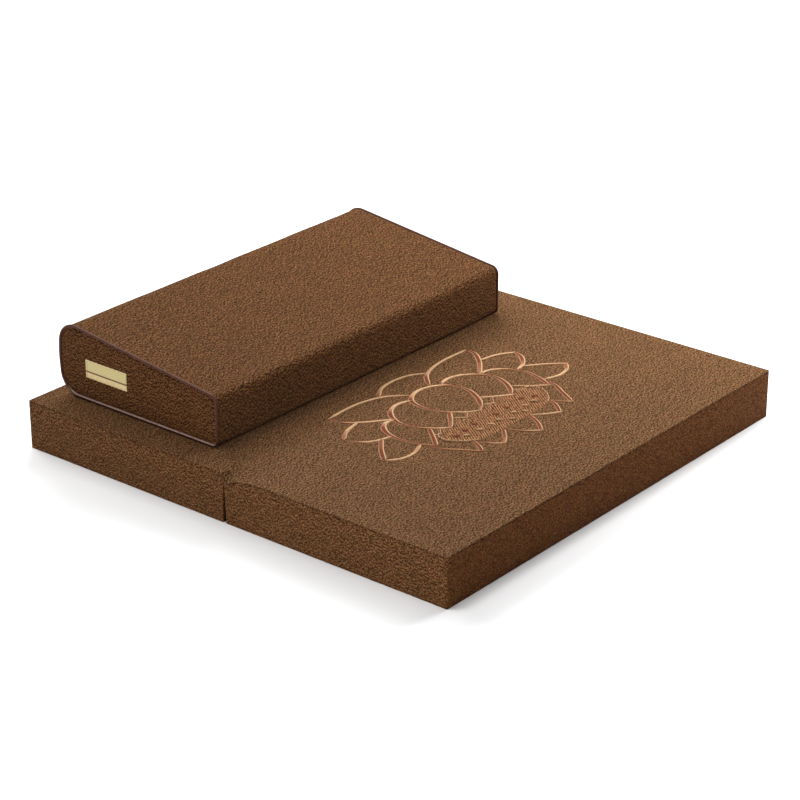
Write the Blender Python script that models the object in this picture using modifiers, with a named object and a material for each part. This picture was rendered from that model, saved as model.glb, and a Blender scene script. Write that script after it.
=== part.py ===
"""Folding meditation mat: two foam panels hinged by one top cloth, and a filled wedge cushion on the back.

Metres, +Z up. X runs along the fold, -Y is the mat's front edge, and the base lies on z = 0.
"""

import math

import bmesh
import bpy
from mathutils import Vector

# Space left between pieces that touch
GAP = 0.0003

# The mat, a square in two halves, whose sides swell a little between their corners
MAT_SIDE = 0.8005
MAT_EDGE_HEIGHT = 0.0782
MAT_CROWN = 0.0014
CROWN_REACH = 0.110
TOP_CLOTH_THICKNESS = 0.0018
TOP_CLOTH_RIM = 0.0007
MAT_CORNER_RADIUS = 0.0025
PANEL_RIM = 0.0015
SIDE_BULGE = 0.0020
SIDE_BULGE_REACH = 0.150
WALL_LEVELS = [0.25, 0.5, 0.75]

# The fold, a little behind the middle, and the V-shaped notch under it, open at the floor
FOLD_Y = 0.003
NOTCH_FOOT_WIDTH = 0.0064
NOTCH_TOP_WIDTH = 0.0016

# The front half sinks beside the notch, at the left end of the fold only
DIP_DEPTH = 0.0090
DIP_SHOULDER = 0.0040
DIP_ALONG_SIDE = 0.048
DIP_INTO_TOP = 0.036
DIP_ALONG_POWER = 1.5
DIP_INTO_POWER = 2.0
DIP_FRONT_SHARE = 1.12
DIP_BACK_SHARE = 1.45

# The wedge cushion with its piping, in its own frame: x along it, y to its back
WEDGE_LENGTH = 0.6607
WEDGE_DEPTH = 0.3233
WEDGE_FRONT_HEIGHT = 0.0817
WEDGE_BACK_HEIGHT = 0.1206
WEDGE_FRONT_FOOT_RADIUS = 0.006
WEDGE_FRONT_TOP_RADIUS = 0.018
WEDGE_BACK_TOP_RADIUS = 0.034
WEDGE_BACK_FOOT_RADIUS = 0.038
WEDGE_BACK_BULGE = 0.0012
WEDGE_CENTRE_X = -0.0186
WEDGE_CENTRE_Y = 0.2208
WEDGE_TURN = -0.004

# How far the wrap lies inside the outer outline half way along the wedge
WRAP_MIDDLE_FRONT = 0.0008
WRAP_MIDDLE_TOP = 0.0006
WRAP_MIDDLE_BACK = 0.0003
WRAP_MIDDLE_BASE = 0.0
WRAP_EASE_LENGTH = 0.090
WRAP_EASE_PLACES = (0.0, 0.15, 0.4, 0.7)
WRAP_EASE_POWER = 0.7

# The piping, whose cord stands in a cove between the wrap and an end panel
PIPING_RADIUS = 0.0022
PIPING_SINK = 0.0003
PIPING_PAST_END = 0.0006
PIPING_SIDES_SETTING = 2
COVE_ANGLES = (25, 50, 75)

# Where the wrap's seam, its end faces and the cove for the piping lie
SEAM_INSET = PIPING_RADIUS - PIPING_SINK
FACE_X = WEDGE_LENGTH / 2 - PIPING_RADIUS - PIPING_PAST_END
COVE_RADIUS = PIPING_RADIUS + GAP
COVE_REACH = math.sqrt(COVE_RADIUS**2 - PIPING_PAST_END**2)
PANEL_INSET = PIPING_RADIUS + COVE_REACH

# The wedge's ends
END_PANEL_THICKNESS = 0.0014
END_DOME = 0.0008
END_DOME_REACH = 0.035
END_RING_SCALES = (1.0, 0.9, 0.72, 0.45, 0.2)

# The label on the left end, by its place in the wedge's frame
LABEL_LENGTH = 0.087
LABEL_HEIGHT = 0.029
LABEL_THICKNESS = 0.0010
LABEL_CENTRE_Y = 0.0632
LABEL_CENTRE_Z = 0.0535
LABEL_COLUMNS = 6
LABEL_ROWS = 2

# Steps in the wedge's outline
ARC_STEPS = 6
FRONT_STEPS = 3
TOP_STEPS = 5
BACK_STEPS = 3
BASE_STEPS = 5

# Colours as linear red, green and blue
CLOTH_LIT = (0.200, 0.108, 0.055)
CLOTH_SIDE = (0.150, 0.078, 0.038)
PIPING_PLUM = (0.060, 0.026, 0.020)
LABEL_KHAKI = (0.560, 0.470, 0.270)


def clear_scene():
    for old in list(bpy.data.objects):
        bpy.data.objects.remove(old, do_unlink=True)


def make_collection(name):
    collection = bpy.data.collections.new(name)
    bpy.context.scene.collection.children.link(collection)
    return collection


def make_material(name, colour, roughness):
    material = bpy.data.materials.new(name)
    material.use_nodes = True
    shader = material.node_tree.nodes["Principled BSDF"]
    shader.inputs["Base Color"].default_value = (*colour, 1.0)
    shader.inputs["Roughness"].default_value = roughness
    shader.inputs["Metallic"].default_value = 0.0
    material.diffuse_color = (*colour, 1.0)
    return material


def add_object(name, shape, material, collection):
    """Turns a bmesh into a smooth-shaded object with one material."""
    bmesh.ops.recalc_face_normals(shape, faces=shape.faces[:])
    mesh = bpy.data.meshes.new(name)
    shape.to_mesh(mesh)
    shape.free()
    mesh.materials.append(material)
    mesh.shade_smooth()
    mesh.set_sharp_from_angle(angle=math.radians(40))
    thing = bpy.data.objects.new(name, mesh)
    collection.objects.link(thing)
    return thing


def smoothstep(t):
    t = min(max(t, 0.0), 1.0)
    return t * t * (3.0 - 2.0 * t)


# The mat's top surface

def crown(x, y):
    """The filling's rise from the outer edges towards the middle."""
    from_side = MAT_SIDE / 2 - abs(x)
    from_end = MAT_SIDE / 2 - abs(y)
    return MAT_CROWN * smoothstep(from_side / CROWN_REACH) * smoothstep(from_end / CROWN_REACH)


def fold_dip(x, y):
    """How far the cloth sinks beside the notch at the fold's left end."""
    past_fold = y - FOLD_Y
    if past_fold <= -DIP_SHOULDER:
        along = max(0.0, 1.0 + (past_fold + DIP_SHOULDER) / DIP_ALONG_SIDE) ** DIP_ALONG_POWER
    else:
        along = 1.0 - smoothstep((past_fold + DIP_SHOULDER) / (2 * DIP_SHOULDER))
    inward = max(0.0, 1.0 - (x + MAT_SIDE / 2) / DIP_INTO_TOP) ** DIP_INTO_POWER
    return DIP_DEPTH * along * inward


def top_height(x, y):
    return MAT_EDGE_HEIGHT + crown(x, y) - fold_dip(x, y)


def panel_height(x, y):
    """A filled half's own height. The front half stays low up to the notch, where the cloth climbs."""
    if y < FOLD_Y:
        sink = DIP_FRONT_SHARE * fold_dip(x, min(y, FOLD_Y - DIP_SHOULDER))
    else:
        sink = DIP_BACK_SHARE * fold_dip(x, y)
    return MAT_EDGE_HEIGHT + crown(x, y) - sink - TOP_CLOTH_THICKNESS - GAP


# The mat's pieces

def cut_box(low, high, corner_radius, stations):
    """A box with rounded upright corners, cut across at stations[axis]."""
    shape = bmesh.new()
    bmesh.ops.create_cube(shape, size=1.0)
    for vertex in shape.verts:
        for axis in range(3):
            vertex.co[axis] = low[axis] if vertex.co[axis] < 0 else high[axis]
    upright = [edge for edge in shape.edges if abs(edge.verts[0].co.z - edge.verts[1].co.z) > 1e-6]
    bmesh.ops.bevel(shape, geom=upright, offset=corner_radius, segments=3, profile=0.5, affect="EDGES")
    for axis, places in enumerate(stations):
        normal = Vector((0.0, 0.0, 0.0))
        normal[axis] = 1.0
        for place in places:
            everything = shape.verts[:] + shape.edges[:] + shape.faces[:]
            bmesh.ops.bisect_plane(shape, geom=everything, plane_co=normal * place, plane_no=normal)
    return shape


def side_stations():
    """Cuts across X: close together at the edges and round the dip at the left end."""
    half = MAT_SIDE / 2
    from_left = (0.010, 0.020, DIP_INTO_TOP, 0.065, CROWN_REACH, 0.20, 0.30)
    from_right = (0.30, 0.20, CROWN_REACH, 0.065, 0.030)
    return [-half + step for step in from_left] + [0.0] + [half - step for step in from_right]


def front_stations():
    """Cuts across Y on the front half."""
    from_front = (0.030, 0.065, CROWN_REACH, 0.20, 0.29)
    dip_steps = (1.0, 0.7, 0.4, 0.2)
    from_fold = [FOLD_Y - DIP_SHOULDER - DIP_ALONG_SIDE * step for step in dip_steps]
    return [-MAT_SIDE / 2 + step for step in from_front] + from_fold


def back_stations():
    """Cuts across Y on the back half."""
    from_fold = (3 * DIP_SHOULDER, CROWN_REACH, 0.20)
    from_back = (CROWN_REACH, 0.065, 0.030)
    return [FOLD_Y + step for step in from_fold] + [MAT_SIDE / 2 - step for step in from_back]


def add_rim(thing, width, segments):
    rim = thing.modifiers.new("rim", "BEVEL")
    rim.width = width
    rim.segments = segments
    rim.limit_method = "ANGLE"
    rim.angle_limit = math.radians(45)


def make_top_cloth(material, collection):
    half = MAT_SIDE / 2
    over_fold = [FOLD_Y - DIP_SHOULDER, FOLD_Y, FOLD_Y + DIP_SHOULDER]
    stations = (side_stations(), front_stations() + over_fold + back_stations(), [])
    shape = cut_box((-half, -half, 0.0), (half, half, 1.0), MAT_CORNER_RADIUS, stations)
    for vertex in shape.verts:
        x, y, level = vertex.co
        vertex.co.z = top_height(x, y) - (1.0 - level) * TOP_CLOTH_THICKNESS
    cloth = add_object("mat_top_cloth", shape, material, collection)
    add_rim(cloth, TOP_CLOTH_RIM, 2)
    return cloth


def wall_bulge(level, to_corner):
    """How far a side wall swells, by its height from 0 to 1 and its distance from the nearest corner."""
    return SIDE_BULGE * (1.0 - (2.0 * level - 1.0) ** 2) * smoothstep(to_corner / SIDE_BULGE_REACH)


def make_panel(name, side, material, collection):
    """One filled half: side is -1 for the front half and +1 for the back half."""
    half = MAT_SIDE / 2
    low_y, high_y = sorted((FOLD_Y, side * half))
    across = front_stations() if side < 0 else back_stations()
    beside_notch = FOLD_Y + side * 2 * DIP_SHOULDER
    stations = (side_stations(), across + [beside_notch], WALL_LEVELS)
    shape = cut_box((-half, low_y, 0.0), (half, high_y, 1.0), MAT_CORNER_RADIUS, stations)
    corner_zone = 1.5 * MAT_CORNER_RADIUS
    for vertex in shape.verts:
        x, y, level = vertex.co
        to_side = half - abs(x)
        to_end = half - abs(y)
        to_notch = abs(y - FOLD_Y)
        notch = (NOTCH_FOOT_WIDTH + level * (NOTCH_TOP_WIDTH - NOTCH_FOOT_WIDTH)) / 2
        if to_side < corner_zone:
            vertex.co.x += math.copysign(wall_bulge(level, min(to_end, to_notch)), x)
        if to_end < corner_zone:
            vertex.co.y += side * wall_bulge(level, to_side)
        if to_notch < corner_zone:
            vertex.co.y += side * notch
        vertex.co.z = level * panel_height(x, vertex.co.y)
    panel = add_object(name, shape, material, collection)
    add_rim(panel, PANEL_RIM, 2)
    return panel


# The wedge cushion

def wedge_outline(front=0.0, top=0.0, back=0.0, base=0.0):
    """Points (y, z) round the wedge from its front foot, each side moved in by its own inset.

    The corners are arcs and the sides are straight, except the back, which bulges a little.
    """
    half = WEDGE_DEPTH / 2
    slope = math.atan2(WEDGE_BACK_HEIGHT - WEDGE_FRONT_HEIGHT, WEDGE_DEPTH)
    drop = top / math.cos(slope)

    def top_z(y):
        return WEDGE_FRONT_HEIGHT + (y + half) * math.tan(slope) - drop

    mean = (front + top + back + base) / 4
    front_y = -half + front
    back_y = half - back
    corners = (
        (Vector((front_y, base)), WEDGE_FRONT_FOOT_RADIUS, FRONT_STEPS, 0.0),
        (Vector((front_y, top_z(front_y))), WEDGE_FRONT_TOP_RADIUS, TOP_STEPS, 0.0),
        (Vector((back_y, top_z(back_y))), WEDGE_BACK_TOP_RADIUS, BACK_STEPS, WEDGE_BACK_BULGE),
        (Vector((back_y, base)), WEDGE_BACK_FOOT_RADIUS, BASE_STEPS, 0.0),
    )
    arcs = []
    for index, (corner, radius, _, _) in enumerate(corners):
        radius = max(radius - mean, 0.001)
        to_last = (corners[index - 1][0] - corner).normalized()
        to_next = (corners[(index + 1) % 4][0] - corner).normalized()
        half_angle = to_last.angle(to_next) / 2
        centre = corner + (to_last + to_next).normalized() * radius / math.sin(half_angle)
        start = corner + to_last * radius / math.tan(half_angle) - centre
        turn = start.angle_signed(corner + to_next * radius / math.tan(half_angle) - centre)
        arc = []
        for step in range(ARC_STEPS + 1):
            angle = -turn * step / ARC_STEPS
            rotated = Vector((
                start.x * math.cos(angle) - start.y * math.sin(angle),
                start.x * math.sin(angle) + start.y * math.cos(angle),
            ))
            arc.append(centre + rotated)
        arcs.append(arc)
    points = []
    for index, (_, _, steps, bulge) in enumerate(corners):
        points += arcs[index]
        begin = arcs[index][-1]
        end = arcs[(index + 1) % 4][0]
        outward = Vector((-(end - begin).y, (end - begin).x)).normalized()
        for step in range(1, steps):
            t = step / steps
            points.append(begin.lerp(end, t) + outward * bulge * 4 * t * (1 - t))
    return points


def seam_outline(inset):
    """The outline with all four sides moved in by the same inset."""
    return wedge_outline(inset, inset, inset, inset)


def end_dome(y, z):
    """How far an end stands out at a point of it: nothing at its rim, END_DOME away from it."""
    half = WEDGE_DEPTH / 2
    top = WEDGE_FRONT_HEIGHT + (y + half) * (WEDGE_BACK_HEIGHT - WEDGE_FRONT_HEIGHT) / WEDGE_DEPTH
    rise = END_DOME
    for distance in (y + half, half - y, z, top - z):
        rise *= smoothstep(distance / END_DOME_REACH)
    return rise


def wrap_sections():
    """Pairs (x, points) along the wedge's wrap, from its left end to its right."""
    seam_x = FACE_X + PIPING_PAST_END - math.sqrt(COVE_RADIUS**2 - PIPING_SINK**2)
    sections = []
    for place in WRAP_EASE_PLACES:
        ease = smoothstep(place) ** WRAP_EASE_POWER
        insets = [
            SEAM_INSET + (middle - SEAM_INSET) * ease
            for middle in (WRAP_MIDDLE_FRONT, WRAP_MIDDLE_TOP, WRAP_MIDDLE_BACK, WRAP_MIDDLE_BASE)
        ]
        sections.append((seam_x - WRAP_EASE_LENGTH * place, wedge_outline(*insets)))
    middle_outline = wedge_outline(WRAP_MIDDLE_FRONT, WRAP_MIDDLE_TOP, WRAP_MIDDLE_BACK, WRAP_MIDDLE_BASE)
    for x in (seam_x - WRAP_EASE_LENGTH, (seam_x - WRAP_EASE_LENGTH) / 2):
        sections.append((x, middle_outline))
    sections.reverse()
    for angle in COVE_ANGLES:
        turn = math.radians(angle)
        x = FACE_X + PIPING_PAST_END - COVE_RADIUS * math.cos(turn)
        sections.append((x, seam_outline(PIPING_RADIUS + COVE_RADIUS * math.sin(turn))))
    sections.append((FACE_X, seam_outline(PANEL_INSET)))
    left_half = [(-x, points) for x, points in reversed(sections)]
    return left_half + [(0.0, middle_outline)] + sections


def add_ring(shape, x, points):
    return [shape.verts.new((x, point.x, point.y)) for point in points]


def join_rings(shape, ring, next_ring):
    count = len(ring)
    for index in range(count):
        after = (index + 1) % count
        shape.faces.new((ring[index], ring[after], next_ring[after], next_ring[index]))


def add_end_face(shape, side, x, rim, rim_ring=None):
    """Fills an outline with rings that follow the end's dome. The first ring is made when none is given."""
    middle = sum(rim, Vector((0.0, 0.0))) / len(rim)
    ring = rim_ring
    for scale in END_RING_SCALES:
        if scale == 1.0 and ring is not None:
            continue
        points = [middle + (point - middle) * scale for point in rim]
        inner = [shape.verts.new((side * (x + end_dome(*point)), *point)) for point in points]
        if ring is not None:
            join_rings(shape, ring, inner)
        ring = inner
    shape.faces.new(ring)


def make_wedge_wrap(material, collection, place):
    sections = wrap_sections()
    shape = bmesh.new()
    rings = [add_ring(shape, x, points) for x, points in sections]
    for ring, next_ring in zip(rings, rings[1:]):
        join_rings(shape, ring, next_ring)
    add_end_face(shape, -1, FACE_X, sections[0][1], rings[0])
    add_end_face(shape, 1, FACE_X, sections[-1][1], rings[-1])
    wrap = add_object("wedge_cushion", shape, material, collection)
    wrap.parent = place
    return wrap


def thicken(thing, thickness):
    solidify = thing.modifiers.new("thickness", "SOLIDIFY")
    solidify.thickness = thickness
    solidify.offset = 1.0


def face_outwards(shape, side):
    """Turns an open surface's faces to look along side times +X."""
    bmesh.ops.recalc_face_normals(shape, faces=shape.faces[:])
    if sum(face.normal.x * face.calc_area() for face in shape.faces) * side < 0:
        bmesh.ops.reverse_faces(shape, faces=shape.faces[:])


def add_sheet(name, shape, side, thickness, material, collection, place):
    """A cloth sheet on an end of the wedge, grown outwards from its open surface."""
    face_outwards(shape, side)
    mesh = bpy.data.meshes.new(name)
    shape.to_mesh(mesh)
    shape.free()
    mesh.materials.append(material)
    sheet = bpy.data.objects.new(name, mesh)
    collection.objects.link(sheet)
    thicken(sheet, thickness)
    sheet.parent = place
    return sheet


def make_end_panel(name, side, material, collection, place):
    shape = bmesh.new()
    add_end_face(shape, side, FACE_X + GAP, seam_outline(PANEL_INSET))
    return add_sheet(name, shape, side, END_PANEL_THICKNESS, material, collection, place)


def make_piping(name, side, material, collection, place):
    curve = bpy.data.curves.new(name, "CURVE")
    curve.dimensions = "3D"
    curve.twist_mode = "MINIMUM"
    curve.bevel_depth = PIPING_RADIUS
    curve.bevel_resolution = PIPING_SIDES_SETTING
    points = seam_outline(PIPING_RADIUS)
    spline = curve.splines.new("POLY")
    spline.points.add(len(points) - 1)
    spline.use_cyclic_u = True
    for spot, point in zip(spline.points, points):
        spot.co = (side * (FACE_X + PIPING_PAST_END), point.x, point.y, 1.0)
    curve.materials.append(material)
    piping = bpy.data.objects.new(name, curve)
    collection.objects.link(piping)
    piping.parent = place
    return piping


def make_label(material, collection, place):
    shape = bmesh.new()
    bmesh.ops.create_grid(shape, x_segments=LABEL_COLUMNS, y_segments=LABEL_ROWS, size=0.5)
    for vertex in shape.verts:
        y = LABEL_CENTRE_Y + vertex.co.x * LABEL_LENGTH
        z = LABEL_CENTRE_Z + vertex.co.y * LABEL_HEIGHT
        x = FACE_X + GAP + END_PANEL_THICKNESS + end_dome(y, z) + GAP
        vertex.co = (-x, y, z)
    return add_sheet("wedge_label", shape, -1, LABEL_THICKNESS, material, collection, place)


def make_wedge_place(collection):
    """The empty that holds the wedge on the mat's crown, a little out of square with the fold."""
    place = bpy.data.objects.new("wedge_place", None)
    place.location = (WEDGE_CENTRE_X, WEDGE_CENTRE_Y, MAT_EDGE_HEIGHT + MAT_CROWN + GAP)
    place.rotation_euler.z = WEDGE_TURN
    collection.objects.link(place)
    return place


def main():
    clear_scene()
    collection = make_collection("folding_meditation_mat")
    top_material = make_material("mat_top_cloth", CLOTH_LIT, 0.9)
    side_material = make_material("mat_side_cloth", CLOTH_SIDE, 0.9)
    wedge_material = make_material("wedge_cloth", CLOTH_LIT, 0.9)
    end_material = make_material("wedge_end_cloth", CLOTH_SIDE, 0.9)
    piping_material = make_material("piping", PIPING_PLUM, 0.7)
    label_material = make_material("label", LABEL_KHAKI, 0.8)

    make_top_cloth(top_material, collection)
    make_panel("mat_front_block", -1, side_material, collection)
    make_panel("mat_back_block", 1, side_material, collection)

    place = make_wedge_place(collection)
    make_wedge_wrap(wedge_material, collection, place)
    for end_name, side in (("left", -1), ("right", 1)):
        make_end_panel(f"wedge_end_panel_{end_name}", side, end_material, collection, place)
        make_piping(f"wedge_piping_{end_name}", side, piping_material, collection, place)
    make_label(label_material, collection, place)


main()
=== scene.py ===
"""Looks of a folding meditation mat and the wedge cushion on it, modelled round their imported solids.

Metres, +Z up. X runs along the fold, -Y is the front half with the lotus, and +Y carries the wedge.
"""

import logging
import math
from dataclasses import dataclass
from enum import Enum

import bpy
import numpy as np
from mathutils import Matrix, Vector

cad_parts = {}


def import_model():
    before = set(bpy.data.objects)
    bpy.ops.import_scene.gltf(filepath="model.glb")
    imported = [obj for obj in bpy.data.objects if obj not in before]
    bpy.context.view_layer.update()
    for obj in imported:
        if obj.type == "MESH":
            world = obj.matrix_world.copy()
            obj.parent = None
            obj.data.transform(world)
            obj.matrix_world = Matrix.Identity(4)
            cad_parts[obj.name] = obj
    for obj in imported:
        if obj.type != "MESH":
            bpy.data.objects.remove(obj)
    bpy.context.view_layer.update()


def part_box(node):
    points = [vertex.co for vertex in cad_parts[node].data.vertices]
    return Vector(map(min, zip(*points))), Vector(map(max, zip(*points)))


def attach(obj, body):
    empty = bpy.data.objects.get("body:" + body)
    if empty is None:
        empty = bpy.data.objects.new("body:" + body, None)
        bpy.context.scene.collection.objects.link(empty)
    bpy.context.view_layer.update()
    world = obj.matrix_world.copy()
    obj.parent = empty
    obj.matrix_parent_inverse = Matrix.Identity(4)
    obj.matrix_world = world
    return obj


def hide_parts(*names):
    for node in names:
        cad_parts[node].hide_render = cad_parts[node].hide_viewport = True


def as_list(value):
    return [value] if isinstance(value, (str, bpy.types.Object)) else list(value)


log = logging.getLogger("mat")

BODY = "root"
MILLIMETRE = 0.001

Colour = tuple[float, float, float]
Pair = tuple[float, float]
Ramp = tuple[float, float, float, float]
Array = np.ndarray
Tree = bpy.types.NodeTree
Output = bpy.types.NodeSocket
Piece = bpy.types.Object
Finish = bpy.types.Material


class Half(Enum):
    """The mat's two filled halves, by the side of the fold that each lies on."""

    FRONT = -1
    BACK = 1


class End(Enum):
    """The wedge's two ends, by their side along X."""

    LEFT = -1
    RIGHT = 1


class Socket(Enum):
    """The kinds of socket that the node groups have."""

    NUMBER = "NodeSocketFloat"
    COUNT = "NodeSocketInt"
    VECTOR = "NodeSocketVector"
    GEOMETRY = "NodeSocketGeometry"
    MATERIAL = "NodeSocketMaterial"


def smoothstep(t: Array | float) -> Array:
    """Eases from 0 to 1."""
    t = np.clip(t, 0.0, 1.0)
    return t * t * (3.0 - 2.0 * t)


def wander(s: Array, wave: float, seed: float) -> Array:
    """A smooth uneven line of about unit height.

    Args:
        s: places along the line, in metres.
        wave: the usual length of a wave, in metres.
        seed: shifts the waves, so that two lines differ.

    Returns:
        The height at each place, from about -1 to 1.
    """
    total = np.zeros_like(np.asarray(s, float))
    for part, (share, stretch) in enumerate(((0.45, 1.0), (0.33, 0.618), (0.22, 0.371))):
        phase = seed * (1.7 + part) + part * 2.1
        total = total + share * np.sin(2 * math.pi * s / (wave * stretch) + phase)
    return total


def relief(x: Array, y: Array, wave: float, seed: float) -> Array:
    """A soft uneven surface of about unit height, from waves that cross at slants."""
    one = wander(x * 0.92 + y * 0.39, wave, seed)
    two = wander(y * 0.88 - x * 0.47, wave * 1.23, seed + 2.6)
    three = wander(x * 0.31 + y * 0.95, wave * 0.71, seed + 4.4)
    return (one + two * 0.9 + three * 0.7) / 1.7


def opaque(value: object) -> object:
    """Three numbers as a colour that isn't see-through. Anything else is left as it is."""
    return (*value, 1.0) if isinstance(value, tuple) and len(value) == 3 else value


def numbers(*labels: str) -> dict:
    """Names of sockets, each with the kind that holds a number."""
    return dict.fromkeys(labels, Socket.NUMBER)


class Graph:
    """A node tree with short calls for the nodes that the finishes use."""

    def __init__(self, tree: Tree) -> None:
        """Keeps the tree that the calls add to."""
        self.tree = tree
        self.nodes = tree.nodes
        self.links = tree.links

    def feed(self, socket: bpy.types.NodeSocket, value: object) -> None:
        """Links an output to an input, or sets the input's own value."""
        if isinstance(value, bpy.types.NodeSocket):
            self.links.new(value, socket)
        elif value is not None:
            socket.default_value = value

    def add(self, kind: str, inputs: dict | None = None, **settings: object) -> bpy.types.Node:
        """Adds a node.

        Args:
            kind: the node's type.
            inputs: values or outputs for its sockets, by name or number.
            settings: the node's own settings.

        Returns:
            The node.
        """
        node = self.nodes.new(kind)
        for name, value in settings.items():
            setattr(node, name, value)
        for key, value in (inputs or {}).items():
            self.feed(node.inputs[key], value)
        return node

    def calc(self, operation: str, a: object, b: object = None, c: object = None) -> Output:
        """One step of arithmetic on numbers."""
        node = self.add("ShaderNodeMath", {0: a, 1: b, 2: c}, operation=operation)
        return node.outputs[0]

    def times(self, a: object, b: object) -> Output:
        """The product of two numbers."""
        return self.calc("MULTIPLY", a, b)

    def vector(self, operation: str, a: object, b: object = None) -> Output:
        """One step of arithmetic on vectors. A dot product comes out as a number."""
        node = self.add("ShaderNodeVectorMath", {0: a, 1: b}, operation=operation)
        return node.outputs["Value" if operation == "DOT_PRODUCT" else "Vector"]

    def scaled(self, vector: object, factor: object) -> Output:
        """A vector or a colour times a number."""
        return self.vector("MULTIPLY", vector, self.join(factor, factor, factor))

    def wave(self, place: object, length: float) -> Output:
        """A sine wave of the given length, from -1 to 1."""
        return self.calc("SINE", self.times(place, 2 * math.pi / length))

    def raised(self, wave: object) -> Output:
        """A wave moved from -1..1 to 0..1."""
        return self.calc("MULTIPLY_ADD", wave, 0.5, 0.5)

    def apart(self, a: object, b: object) -> Output:
        """How far two numbers lie apart."""
        return self.calc("ABSOLUTE", self.calc("SUBTRACT", a, b))

    def kept(self, attribute: str) -> Output:
        """A number that the mesh keeps under a name."""
        return self.add("ShaderNodeAttribute", attribute_name=attribute).outputs["Fac"]

    def join(self, x: object, y: object, z: object = 0.0) -> Output:
        """A vector of three numbers."""
        return self.add("ShaderNodeCombineXYZ", {0: x, 1: y, 2: z}).outputs[0]

    def split(self, vector: object) -> tuple:
        """A vector's three numbers."""
        return tuple(self.add("ShaderNodeSeparateXYZ", {0: vector}).outputs)

    def noise(self, place: object, scale: float, detail: float = 1.0, rough: float = 0.5) -> Output:
        """Soft noise from 0 to 1."""
        inputs = {"Vector": place, "Scale": scale, "Detail": detail, "Roughness": rough}
        return self.add("ShaderNodeTexNoise", inputs, noise_dimensions="3D").outputs[0]

    def blend(self, share: object, a: object, b: object) -> Output:
        """Goes from number a to number b."""
        return self.add("ShaderNodeMix", {0: share, 2: a, 3: b}, data_type="FLOAT").outputs[0]

    def tint(self, share: object, a: object, b: object) -> Output:
        """Goes from colour a to colour b, each an output or three numbers."""
        inputs = {0: share, 6: opaque(a), 7: opaque(b)}
        return self.add("ShaderNodeMix", inputs, data_type="RGBA").outputs[2]

    def span(self, value: object, low: float, high: float, to_low: float = 0.0, to_high: float = 1.0,
             easing: str = "SMOOTHSTEP") -> Output:
        """Maps low..high to to_low..to_high, and holds it there beyond."""
        inputs = {0: value, 1: low, 2: high, 3: to_low, 4: to_high}
        return self.add("ShaderNodeMapRange", inputs, interpolation_type=easing).outputs[0]

    def ramp(self, share: object, stops: tuple) -> Output:
        """Colours along a scale. Each stop is (place, colour)."""
        node = self.add("ShaderNodeValToRGB", {0: share})
        band = node.color_ramp
        for place, colour in stops[1:-1]:
            band.elements.new(place).color = opaque(colour)
        for element, (place, colour) in ((band.elements[0], stops[0]), (band.elements[-1], stops[-1])):
            element.position = place
            element.color = opaque(colour)
        return node.outputs[0]

    def emboss(self, shader: bpy.types.Node, height: object, strength: float, depth: float) -> None:
        """Bends a shader's normal by a height from 0 to 1."""
        bump = self.add("ShaderNodeBump", {"Height": height, "Strength": strength, "Distance": depth})
        self.feed(shader.inputs["Normal"], bump.outputs[0])


def new_group(name: str, kind: str, takes: dict, gives: dict) -> tuple[Graph, dict, dict]:
    """Starts a node group with named sockets.

    Args:
        name: the group's name.
        kind: ShaderNodeTree or GeometryNodeTree.
        takes: the inputs, as name: socket kind.
        gives: the outputs, in the same way.

    Returns:
        The group's graph, its inputs by name, and the sockets that its outputs are fed through.
    """
    tree = bpy.data.node_groups.new(name, kind)
    for way, sockets in (("INPUT", takes), ("OUTPUT", gives)):
        for label, socket in sockets.items():
            tree.interface.new_socket(label, in_out=way, socket_type=socket.value)
    graph = Graph(tree)
    entry = graph.add("NodeGroupInput")
    leave = graph.add("NodeGroupOutput")
    inputs = {label: entry.outputs[label] for label in takes}
    outputs = {label: leave.inputs[label] for label in gives}
    return graph, inputs, outputs


def use_group(graph: Graph, group: Tree, inputs: dict) -> bpy.types.Node:
    """Places a shader group in a graph with its own values."""
    node = graph.add("ShaderNodeGroup", node_tree=group)
    for label, value in inputs.items():
        graph.feed(node.inputs[label], value)
    return node


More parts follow.
